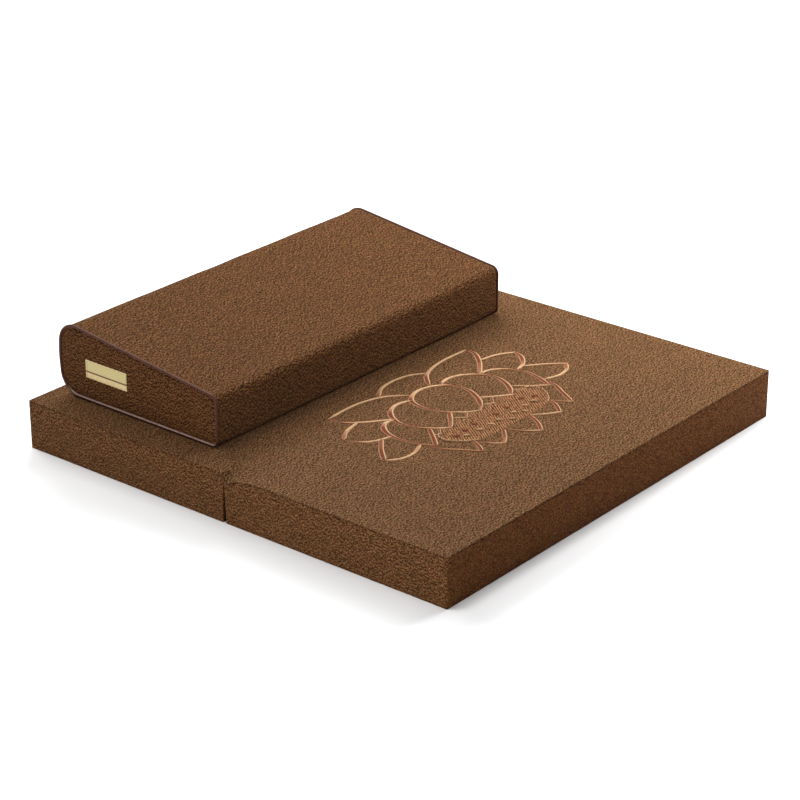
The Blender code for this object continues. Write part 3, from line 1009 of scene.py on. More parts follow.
    def cap(self, ring: Array, scale: float, top: bool) -> Array:
        """A ring drawn in towards the half's middle, on the base or under the top cloth."""
        middle = ring[:, :2].mean(axis=0)
        row = ring.copy()
        row[:, :2] = middle + (ring[:, :2] - middle) * scale
        row[:, 2] = self.form.panel_at(row[:, 0], row[:, 1]) if top else 0.0
        return row

    def build(self, material: Finish) -> Piece:
        """Makes the closed form from its base, up the walls and over its top."""
        outline, normals = self.outline()
        walls = []
        for step in range(self.rim_steps + 1):
            turn = math.pi / 2 * step / self.rim_steps
            row = self.wall_point(outline, normals, 0.0, self.foot_radius * (1 - math.sin(turn)))
            row[:, 2] = self.foot_radius * (1 - math.cos(turn))
            walls.append(row)
        for level in self.levels:
            row = self.wall_point(outline, normals, level, 0.0)
            head = self.form.panel_at(row[:, 0], row[:, 1])
            row[:, 2] = self.foot_radius + level * (head - self.head_radius - self.foot_radius)
            walls.append(row)
        for step in range(self.rim_steps + 1):
            turn = math.pi / 2 * step / self.rim_steps
            row = self.wall_point(outline, normals, 1.0, self.head_radius * (1 - math.cos(turn)))
            head = self.form.panel_at(row[:, 0], row[:, 1])
            row[:, 2] = head - self.head_radius * (1 - math.sin(turn))
            walls.append(row)
        base = [self.cap(walls[0], scale, False) for scale in reversed(self.cap_scales)]
        head = [self.cap(walls[-1], scale, True) for scale in self.cap_scales]
        rows = base + walls + head
        around = along_ring(outline)
        cloth = []
        for index in range(len(rows) - 1):
            pair = rows[index:index + 2]
            if len(base) <= index < len(base) + len(walls) - 1:
                cloth += bands([np.stack([around, closed(row[:, 2])], axis=1) for row in pair])
            else:
                cloth += bands([closed(row[:, :2]) for row in pair])
        name = f"mat_{self.half.name.lower()}_half"
        piece = Skin(name, rows, cloth, close_start=True, close_end=True).build(material)
        self.darken_notch(piece, np.concatenate(rows))
        return piece

    def darken_notch(self, piece: Piece, points: Array) -> None:
        """Keeps on each point how much painted shade darkens the cloth there, which is most inside the notch.
        """
        from_side = self.form.half - np.abs(points[:, 0])
        from_fold = np.abs(points[:, 1] - self.form.fold_y)
        inside = smoothstep((from_side - self.shade_inset) / self.shade_reach)
        beside = 1.0 - smoothstep((from_fold - self.shade_half_width) / self.shade_fade)
        shade = piece.data.attributes.new("notch_shade", "FLOAT", "POINT")
        shade.data.foreach_set("value", (self.notch_shade * inside * beside).astype(np.float32))


@dataclass(frozen=True)
class WedgeForm:
    """The wedge cushion's form in its own frame, x along it and y to its back, and its place on the mat."""

    centre_x: float = -0.01745
    centre_y: float = 0.2208
    base_z: float = 0.0799
    turn: float = -0.004
    length: float = 0.6630
    depth: float = 0.3233
    front_height: float = 0.0817
    back_height: float = 0.1206
    front_foot_radius: float = 0.011
    front_top_radius: float = 0.014
    back_top_radius: float = 0.034
    back_foot_radius: float = 0.038
    back_bulge: float = 0.0012
    middle_insets: tuple = (0.0008, 0.0017, 0.0013, 0.0)
    ease_length: float = 0.090
    piping_radius: float = 0.0022
    piping_sink: float = 0.0003
    piping_past_end: float = 0.0010
    gap: float = 0.0003
    dome: float = 0.0008
    dome_reach: float = 0.035
    arc_spacing: float = 0.0042

    @property
    def seam_inset(self) -> float:
        """How far the seam at an end lies inside the outer outline."""
        return self.piping_radius - self.piping_sink

    @property
    def face_x(self) -> float:
        """Where the wrap's end faces lie."""
        return self.length / 2 - self.piping_radius - self.piping_past_end

    @property
    def cove_radius(self) -> float:
        """The hollow that the piping stands in."""
        return self.piping_radius + self.gap

    @property
    def panel_inset(self) -> float:
        """How far the end panels' rims lie inside the outer outline."""
        return self.piping_radius + math.sqrt(self.cove_radius**2 - self.piping_past_end**2)

    def outline(self, front: float, top: float, back: float, base: float) -> Array:
        """Points (y, z) round the wedge from its front foot, each side moved in by its own inset.

        Args:
            front: the front side's inset.
            top: the top side's inset.
            back: the back side's inset, before its slight bulge.
            base: the base's inset.

        Returns:
            The points, always of the same count, so that outlines with other insets join up.
        """
        half = self.depth / 2
        slope = math.atan2(self.back_height - self.front_height, self.depth)
        drop = top / math.cos(slope)

        def top_z(y: float) -> float:
            """The top side's line."""
            return self.front_height + (y + half) * math.tan(slope) - drop

        mean = (front + top + back + base) / 4
        front_y = -half + front
        back_y = half - back
        corners = (
            (Vector((front_y, base)), self.front_foot_radius, self.front_height, 0.0),
            (Vector((front_y, top_z(front_y))), self.front_top_radius, self.depth, 0.0),
            (Vector((back_y, top_z(back_y))), self.back_top_radius, self.back_height / 2, self.back_bulge),
            (Vector((back_y, base)), self.back_foot_radius, self.depth, 0.0),
        )
        arcs = []
        for index, (corner, full_radius, _, _) in enumerate(corners):
            radius = max(full_radius - mean, 0.001)
            to_last = (corners[index - 1][0] - corner).normalized()
            to_next = (corners[(index + 1) % 4][0] - corner).normalized()
            half_angle = to_last.angle(to_next) / 2
            centre = corner + (to_last + to_next).normalized() * radius / math.sin(half_angle)
            start = corner + to_last * radius / math.tan(half_angle) - centre
            turn = start.angle_signed(corner + to_next * radius / math.tan(half_angle) - centre)
            steps = max(6, round(full_radius * abs(turn) / self.arc_spacing * 1.6))
            angles = -turn * np.linspace(0.0, 1.0, steps + 1)
            y = start.x * np.cos(angles) - start.y * np.sin(angles)
            z = start.x * np.sin(angles) + start.y * np.cos(angles)
            arcs.append(np.array(centre) + np.stack([y, z], axis=1))
        pieces = []
        for index, (_, _, length, bulge) in enumerate(corners):
            begin = arcs[index][-1]
            end = arcs[(index + 1) % 4][0]
            steps = round(length / self.arc_spacing)
            t = np.linspace(0.0, 1.0, steps + 1)[1:-1, None]
            outward = np.array([-(end - begin)[1], (end - begin)[0]])
            outward = outward / np.linalg.norm(outward)
            pieces += [arcs[index], begin + (end - begin) * t + outward * bulge * 4 * t * (1 - t)]
        return np.concatenate(pieces)

    def seam(self, inset: float) -> Array:
        """The outline with all four sides moved in by the same inset."""
        return self.outline(inset, inset, inset, inset)

    def dome_at(self, y: Array, z: Array) -> Array:
        """How far an end stands out away from its rim."""
        half = self.depth / 2
        top = self.front_height + (y + half) * (self.back_height - self.front_height) / self.depth
        rise = self.dome
        for distance in (y + half, half - y, z, top - z):
            rise = rise * smoothstep(distance / self.dome_reach)
        return rise

    def to_mat(self, points: Array) -> Array:
        """Turns and moves points from the wedge's frame to the mat's."""
        cos = math.cos(self.turn)
        sin = math.sin(self.turn)
        placed = points.copy()
        placed[:, 0] = self.centre_x + points[:, 0] * cos - points[:, 1] * sin
        placed[:, 1] = self.centre_y + points[:, 0] * sin + points[:, 1] * cos
        placed[:, 2] = self.base_z + points[:, 2]
        return placed


def ring_normals(ring: Array) -> Array:
    """Outward directions in the plane of a ring that runs with the clock, seen from +x."""
    ahead = np.roll(ring, -1, axis=0) - np.roll(ring, 1, axis=0)
    normals = np.stack([-ahead[:, 1], ahead[:, 0]], axis=1)
    return normals / np.linalg.norm(normals, axis=1)[:, None]


@dataclass
class WedgeWrap:
    """The filled wedge in its one-piece wrap of front, top, back and base."""

    form: WedgeForm
    spacing: float = 0.0045
    pucker: float = 0.00045
    pucker_reach: float = 0.013
    pucker_wave: float = 0.015
    sag: float = 0.0005
    sag_most: float = 0.0002
    sag_wave: float = 0.16
    crowding: float = 1.35
    cove_angles: tuple = (15, 32, 50, 68, 82)
    ring_scales: tuple = (0.93, 0.8, 0.6, 0.35, 0.15)

    def stations(self) -> Array:
        """Places along the right half of the wrap, closer together towards the seam."""
        form = self.form
        seam_x = form.face_x + form.piping_past_end - math.sqrt(form.cove_radius**2 - form.piping_sink**2)
        count = round(seam_x / self.spacing)
        t = np.linspace(0.0, 1.0, count + 1)
        return seam_x * (1 - (1 - t) ** self.crowding)

    def section(self, x: float, seam_x: float) -> Array:
        """The wrap's outline at a place along it, with its puckers and its slight unevenness."""
        form = self.form
        from_seam = seam_x - abs(x)
        ease = float(smoothstep(from_seam / form.ease_length)) ** 0.7
        insets = [form.seam_inset + (middle - form.seam_inset) * ease for middle in form.middle_insets]
        ring = form.outline(*insets)
        around = along_ring(ring)[:-1]
        off_floor = smoothstep(ring[:, 1] / 0.02)
        side = math.copysign(1.0, x)
        gather = self.pucker * math.exp(-from_seam / self.pucker_reach)
        gather *= float(smoothstep(from_seam / 0.0025))
        wave = wander(around, self.pucker_wave, 5.0 + side)
        uneven = self.sag * relief(around, np.full_like(around, x), self.sag_wave, 2.0)
        uneven = uneven * float(smoothstep(from_seam / 0.06))
        push = (gather * np.minimum(wave, 0.3) + np.minimum(uneven, self.sag_most)) * off_floor
        return ring + ring_normals(ring) * push[:, None]

    def build(self, material: Finish) -> Piece:
        """Makes the wrap from one end face to the other."""
        form = self.form
        right = self.stations()
        seam_x = right[-1]
        places = np.concatenate([-right[:0:-1], right])
        rows = []
        spots = []
        for x in places:
            ring = self.section(float(x), seam_x)
            around = along_ring(ring)
            rows.append(np.column_stack([np.full(len(ring), x), ring]))
            spots.append(np.column_stack([np.full(len(around), x), around]))
        cloth = bands(spots)
        ends = []
        for angle in self.cove_angles:
            turn = math.radians(angle)
            x = form.face_x + form.piping_past_end - form.cove_radius * math.cos(turn)
            ring = form.seam(form.piping_radius + form.cove_radius * math.sin(turn))
            ends.append((x, ring))
        rim = form.seam(form.panel_inset)
        ends.append((form.face_x, rim))
        middle = rim.mean(axis=0)
        for scale in self.ring_scales:
            ring = middle + (rim - middle) * scale
            ends.append((form.face_x + form.dome_at(ring[:, 0], ring[:, 1]), ring))
        for x, ring in ends:
            for side in (1, -1):
                row = np.column_stack([side * x * np.ones(len(ring)), ring])
                strip = np.stack([closed(ring), closed(ring)])
                if side > 0:
                    rows.append(row)
                    cloth.append(strip)
                else:
                    rows.insert(0, row)
                    cloth.insert(0, strip)
        for row in rows:
            row[:] = form.to_mat(row)
        return Skin("wedge_wrap", rows, cloth, close_start=True, close_end=True).build(material, flip=True)


@dataclass
class EndPanel:
    """A cloth end of the wedge, drawn in to the seam at its rim."""

    form: WedgeForm
    end: End
    thickness: float = 0.0011
    stand: float = 0.0013
    rim_drop: float = 0.0012
    rim_reach: float = 0.004
    pucker: float = 0.00030
    pucker_wave: float = 0.017
    pucker_reach: float = 0.010
    hollow: float = 0.0002
    hollow_wave: float = 0.07
    hollow_reach: float = 0.02
    scales: tuple = (1.0, 0.995, 0.985, 0.97, 0.95, 0.925, 0.89, 0.84, 0.77, 0.68, 0.57, 0.44, 0.3, 0.15)

    def face_at(self, y: Array, z: Array) -> Array:
        """How far from the wedge's middle the panel's face lies."""
        form = self.form
        return form.face_x + form.gap + self.stand + form.dome_at(y, z)

    def build(self, material: Finish) -> Piece:
        """Makes the panel from its rim inwards."""
        form = self.form
        side = self.end.value
        rim = form.seam(form.panel_inset)
        middle = rim.mean(axis=0)
        around = along_ring(rim)[:-1]
        wave = wander(around, self.pucker_wave, 8.0 + side)
        rows = []
        spots = []
        for scale in self.scales:
            ring = middle + (rim - middle) * scale
            inward = (1.0 - scale) * np.linalg.norm(rim - middle, axis=1)
            x = self.face_at(ring[:, 0], ring[:, 1])
            x = x - self.rim_drop * np.exp(-((inward / self.rim_reach) ** 2))
            x = x + self.pucker * wave * np.exp(-inward / self.pucker_reach) * smoothstep(inward / 0.002)
            uneven = 1 + relief(ring[:, 0], ring[:, 1], self.hollow_wave, 4.0 + side)
            x = x - self.hollow * uneven * smoothstep(inward / self.hollow_reach)
            rows.append(form.to_mat(np.column_stack([side * x, ring])))
            spots.append(closed(ring))
        name = f"wedge_end_{self.end.name.lower()}"
        skin = Skin(name, rows, bands(spots), close_end=True)
        piece = skin.build(material, flip=self.end is End.RIGHT)
        add_thickness(piece, self.thickness)
        return piece

    def cut(self) -> tuple[float, float, float]:
        """The flat cut's depth, height and area."""
        ring = self.form.seam(self.form.panel_inset)
        size = ring.max(axis=0) - ring.min(axis=0)
        y, z = closed(ring).T
        area = abs(float((y[:-1] * z[1:] - y[1:] * z[:-1]).sum())) / 2
        return float(size[0]), float(size[1]), area


@dataclass
class Label:
    """The khaki strip sewn on the left end panel."""

    panel: EndPanel
    length: float = 0.0850
    height: float = 0.0284
    thickness: float = 0.0008
    centre_y: float = 0.0622
    centre_z: float = 0.0535
    columns: int = 58
    lines: int = 20
    lift: float = 0.0003
    press: float = 0.0003
    press_reach: float = 0.005
    ragged: float = 0.00050
    ragged_wave: float = 0.0085
    ripple: float = 0.00012
    ripple_wave: float = 0.02
    stitch_inset: float = 0.0016
    stitch_length: float = 0.0026
    stitch_gap: float = 0.0012
    stitch_rise: float = 0.0002
    stitch_points: int = 5
    thread_radius: float = 0.00022
    thread_step: float = 0.0007
    thread_tone: float = 0.8

    def face_at(self, y: Array, z: Array) -> Array:
        """How far from the wedge's middle the label's face lies, with its ends pressed down a little."""
        lift = self.lift + self.thickness
        from_end = self.length / 2 - np.abs(y - self.centre_y)
        press = self.press * (1 - smoothstep(from_end / self.press_reach))
        return self.panel.face_at(y, z) + lift - press

    def build(self, material: Finish) -> Piece:
        """Makes the strip with slightly ragged long edges."""
        u = np.linspace(0.0, self.length, self.columns + 1)
        rows = []
        spots = []
        for line in range(self.lines + 1):
            share = line / self.lines
            ragged = self.ragged * wander(u, self.ragged_wave, 3.0 + 4.0 * round(share))
            v = self.height * share + ragged * abs(2 * share - 1) ** 6
            y = self.centre_y - self.length / 2 + u
            z = self.centre_z - self.height / 2 + v
            level = np.full_like(u, self.height * share)
            x = self.face_at(y, z) + self.ripple * relief(u, level, self.ripple_wave, 6.0)
            rows.append(self.panel.form.to_mat(np.column_stack([-x, y, z])))
            spots.append(np.column_stack([u, v]))
        piece = Skin("wedge_tape", rows, bands(spots), ring=False).build(material, flip=True)
        add_thickness(piece, self.thickness)
        return piece

    def stitches(self) -> list:
        """Short threads round the label just inside its edges, each as (x, y, z, 1)."""
        low = self.stitch_inset
        corners = np.array([(low, low), (self.length - low, low), (self.length - low, self.height - low),
                            (low, self.height - low), (low, low)])
        made = []
        for begin, end in zip(corners[:-1], corners[1:]):
            side = end - begin
            reach = float(np.linalg.norm(side))
            pitch = self.stitch_length + self.stitch_gap
            for start in np.arange(self.stitch_gap, reach - self.stitch_length, pitch):
                share = (start + np.linspace(0.0, self.stitch_length, self.stitch_points)) / reach
                spot = begin + share[:, None] * side
                y = self.centre_y - self.length / 2 + spot[:, 0]
                z = self.centre_z - self.height / 2 + spot[:, 1]
                bow = np.sin(math.pi * np.linspace(0.0, 1.0, self.stitch_points))
                x = self.face_at(y, z) + self.stitch_rise * bow
                points = self.panel.form.to_mat(np.column_stack([-x, y, z]))
                made.append(np.column_stack([points, np.ones(self.stitch_points)]))
        return made

    def sew(self, sewing: "Sewing", material: Finish) -> Piece:
        """Makes the stitches' threads."""
        guide = curve_object("tape_stitch_line", self.stitches())
        settings = {
            "Stitch": self.thread_step,
            "Thread Radius": self.thread_radius,
            "Tone": self.thread_tone,
            "Material": material,
        }
        return grow(guide, "wedge_tape_stitches", sewing.fill, settings)


def curve_object(name: str, paths: list, cyclic: bool = False) -> Piece:
    """A curve of straight steps through given points.

    Args:
        name: the object's name.
        paths: arrays of (x, y, z, half width), one for each stroke.
        cyclic: joins each path's end to its start.

    Returns:
        The curve's object.
    """
    curve = bpy.data.curves.new(name, "CURVE")
    curve.dimensions = "3D"
    for path in paths:
        spline = curve.splines.new("POLY")
        spline.points.add(len(path) - 1)
        spline.use_cyclic_u = cyclic
        for spot, (x, y, z, half_width) in zip(spline.points, path):
            spot.co = (x, y, z, 1.0)
            spot.radius = half_width
    return add_object(name, curve)


def grow(guide: Piece, name: str, tree: Tree, settings: dict) -> Piece:
    """Runs Geometry Nodes on a guide and keeps the result as a plain mesh.

    Args:
        guide: the object with the curves, which is removed.
        name: the new piece's name.
        tree: the node group.
        settings: the group's inputs by name.

    Returns:
        The new piece.
    """
    work = guide.modifiers.new("grow", "NODES")
    work.node_group = tree
    for item in tree.interface.items_tree:
        if item.item_type == "SOCKET" and item.in_out == "INPUT" and item.name in settings:
            work[item.identifier] = settings[item.name]
    graph = bpy.context.evaluated_depsgraph_get()
    graph.update()
    mesh = bpy.data.meshes.new_from_object(guide.evaluated_get(graph), depsgraph=graph)
    mesh.name = name
    guide.modifiers.remove(work)
    bpy.data.objects.remove(guide, do_unlink=True)
    return add_object(name, mesh)


class Sewing:
    """The Geometry Nodes trees that lay threads and cords along curves."""

    def __init__(self) -> None:
        """Builds the trees."""
        self.satin = self.build_satin()
        self.cord = self.build_cord()
        self.fill = self.build_fill()

    @staticmethod
    def start(name: str, takes: dict) -> tuple[Graph, dict, dict]:
        """Starts a tree that takes curves, its own inputs and a material, and gives a mesh."""
        mesh = {"Geometry": Socket.GEOMETRY}
        return new_group(name, "GeometryNodeTree", mesh | takes | {"Material": Socket.MATERIAL}, mesh)

    @staticmethod
    def store(graph: Graph, geometry: object, label: str, value: object, domain: str) -> Output:
        """Keeps a number on the geometry under a name that the finishes read."""
        inputs = {"Geometry": geometry, "Name": label, "Value": value}
        node = graph.add("GeometryNodeStoreNamedAttribute", inputs, data_type="FLOAT", domain=domain)
        return node.outputs[0]

    @staticmethod
    def chance(graph: Graph, seed: int, low: float = 0.0, high: float = 1.0) -> Output:
        """A random number for each point or stitch, the same each time for a seed."""
        inputs = {2: low, 3: high, "Seed": seed}
        return graph.add("FunctionNodeRandomValue", inputs, data_type="FLOAT").outputs[1]

    @staticmethod
    def tube(graph: Graph, line: object, radius: object) -> Output:
        """A closed four-sided thread along a line."""
        circle = {"Resolution": 4, "Radius": radius}
        section = graph.add("GeometryNodeCurvePrimitiveCircle", circle).outputs[0]
        inputs = {"Curve": line, "Profile Curve": section, "Fill Caps": True}
        return graph.add("GeometryNodeCurveToMesh", inputs).outputs[0]

    @staticmethod
    def finish(graph: Graph, geometry: object, material: object, out: dict) -> None:
        """Makes instances real and sets the material."""
        real = graph.add("GeometryNodeRealizeInstances", {0: geometry}).outputs[0]
        dressed = graph.add("GeometryNodeSetMaterial", {"Geometry": real, "Material": material}).outputs[0]
        graph.feed(out["Geometry"], dressed)

    def stitch(self, graph: Graph, arch: object, radius: object) -> Output:
        """One stitch of unit length across x, arched in z, with its place across kept on it."""
        bow = graph.add("GeometryNodeCurveQuadraticBezier", {
            "Resolution": 4,
            "Start": (-0.5, 0.0, 0.0),
            "Middle": graph.join(0.0, 0.0, arch),
            "End": (0.5, 0.0, 0.0),
        })
        x, _, _ = graph.split(graph.add("GeometryNodeInputPosition").outputs[0])
        named = self.store(graph, bow.outputs[0], "across", graph.times(x, 2.0), "POINT")
        return self.tube(graph, named, radius)

    def build_satin(self) -> Tree:
        """Stitches laid side by side across a stroke, as wide as the curve's radius says.

        Returns:
            A tree that takes the strokes, and gives arched threads with the attributes tone, across and
            jitter.
        """
        narrowest, widest = 0.94, 1.08
        takes = numbers("Pitch", "Thread Radius", "Arch", "Slant", "Tone Low", "Tone High")
        takes |= {"Bright Lie": Socket.VECTOR, "Lit Side": Socket.VECTOR}
        graph, given, out = self.start("satin stitches", takes)
        line = {"Curve": given["Geometry"], "Length": given["Pitch"]}
        row = graph.add("GeometryNodeCurveToPoints", line, mode="LENGTH")
        lean = graph.add("ShaderNodeVectorRotate", {
            "Vector": row.outputs["Tangent"],
            "Axis": (0.0, 0.0, 1.0),
            "Angle": graph.calc("ADD", given["Slant"], math.pi / 2),
        }).outputs[0]
        # Each stitch's +x turns to the lit side, where the finish paints its highlight edge.
        toward = graph.vector("DOT_PRODUCT", lean, given["Lit Side"])
        sign = graph.calc("SIGN", graph.calc("ADD", toward, 0.0001))
        facing = graph.add("FunctionNodeAxesToRotation", {0: (0.0, 0.0, 1.0), 1: graph.scaled(lean, sign)},
                           primary_axis="Z", secondary_axis="X")
        width = graph.times(graph.add("GeometryNodeInputRadius").outputs[0], 2.0)
        width = graph.times(width, self.chance(graph, 11, narrowest, widest))
        laid = graph.add("GeometryNodeInstanceOnPoints", {
            "Points": row.outputs["Points"],
            "Instance": self.stitch(graph, given["Arch"], given["Thread Radius"]),
            "Rotation": facing.outputs[0],
            "Scale": graph.join(width, 1.0, 1.0),
        })
        turned = graph.add("GeometryNodeInputInstanceRotation").outputs[0]
        across = graph.add("FunctionNodeRotateVector", {"Vector": (1.0, 0.0, 0.0), "Rotation": turned})
        # Painted sheen: the tone rises as a stitch's thread lies nearer the bright lie.
        shine = graph.calc("ABSOLUTE", graph.vector("DOT_PRODUCT", across.outputs[0], given["Bright Lie"]))
        tone = graph.span(shine, given["Tone Low"], given["Tone High"])
        named = self.store(graph, laid.outputs[0], "tone", tone, "INSTANCE")
        named = self.store(graph, named, "jitter", self.chance(graph, 5), "INSTANCE")
        self.finish(graph, named, given["Material"], out)
        return graph.tree

    def build_fill(self) -> Tree:
        """Thin laid threads that follow whole lines.

        Returns:
            A tree that takes lines, and gives a thread along each with the same attributes as satin has.
        """
        graph, given, out = self.start("laid threads", numbers("Stitch", "Thread Radius", "Tone"))
        curve = {"Curve": given["Geometry"], "Length": given["Stitch"]}
        line = graph.add("GeometryNodeResampleCurve", curve, mode="LENGTH").outputs[0]
        named = graph.add("GeometryNodeSetCurveRadius", {"Curve": line, "Radius": 1.0}).outputs[0]
        kept = {"jitter": self.chance(graph, 23), "tone": given["Tone"], "across": 0.0}
        for label, value in kept.items():
            named = self.store(graph, named, label, value, "POINT")
        self.finish(graph, self.tube(graph, named, given["Thread Radius"]), given["Material"], out)
        return graph.tree

    def build_cord(self) -> Tree:
        """A covered cord along a closed curve.

        Returns:
            A tree that takes the curve, and gives a tube with the attributes along, in metres, and around.
        """
        graph, given, out = self.start("covered cord", numbers("Radius") | {"Sides": Socket.COUNT})
        along = graph.add("GeometryNodeSplineParameter").outputs["Length"]
        line = self.store(graph, given["Geometry"], "along", along, "POINT")
        line = graph.add("GeometryNodeSetCurveRadius", {"Curve": line, "Radius": 1.0}).outputs[0]
        circle = {"Resolution": given["Sides"], "Radius": given["Radius"]}
        section = graph.add("GeometryNodeCurvePrimitiveCircle", circle).outputs[0]
        around = graph.add("GeometryNodeSplineParameter").outputs["Factor"]
        profile = self.store(graph, section, "around", around, "POINT")
        tube = graph.add("GeometryNodeCurveToMesh", {"Curve": line, "Profile Curve": profile})
        smooth = graph.add("GeometryNodeSetShadeSmooth", {"Geometry": tube.outputs[0]})
        self.finish(graph, smooth.outputs[0], given["Material"], out)
        return graph.tree


@dataclass
class Piping:
    """The covered cord round one end of the wedge."""

    form: WedgeForm
    end: End
    sides: int = 14

    def build(self, sewing: Sewing, material: Finish) -> Piece:
        """Makes the cord along the seam."""
        form = self.form
        ring = form.seam(form.piping_radius)
        x = np.full(len(ring), self.end.value * (form.face_x + form.piping_past_end))
        points = form.to_mat(np.column_stack([x, ring]))
        path = np.column_stack([points, np.ones(len(points))])
        guide = curve_object("piping_line", [path], cyclic=True)
        settings = {"Radius": form.piping_radius, "Sides": self.sides, "Material": material}
        return grow(guide, f"wedge_cord_{self.end.name.lower()}", sewing.cord, settings)


@dataclass(frozen=True)
class Stroke:
    """One line of the embroidery, as points and a width in millimetres.

    The points are counted from the design's own origin, which the lotus then shifts, stretches and turns.
    """

    points: tuple
    width: float = 5.0
    mirrored: bool = True
    joined: bool = False
    taper: float = 0.35


def smooth_path(points: Array, step: float) -> Array:
    """A smooth line through points.

    Args:
        points: the points to pass through.
        step: the distance between the line's own points.

    Returns:
        The line's points.
    """
    if len(points) == 2:
        length = float(np.linalg.norm(points[1] - points[0]))
        t = np.linspace(0.0, 1.0, max(2, round(length / step) + 1))[:, None]
        return points[0] + (points[1] - points[0]) * t
    padded = np.concatenate([[2 * points[0] - points[1]], points, [2 * points[-1] - points[-2]]])
    line = [points[:1]]
    for index in range(1, len(padded) - 2):
        before, start, end, after = padded[index - 1:index + 3]
        length = float(np.linalg.norm(end - start))
        count = max(2, round(length / step))
        t = np.linspace(0.0, 1.0, count + 1)[1:, None]
        leave = (end - before) / 2
        arrive = (after - start) / 2
        blend_a = 2 * t**3 - 3 * t**2 + 1
        blend_b = t**3 - 2 * t**2 + t
        blend_c = -2 * t**3 + 3 * t**2
        blend_d = t**3 - t**2
        line.append(blend_a * start + blend_b * leave + blend_c * end + blend_d * arrive)
    return np.concatenate(line)


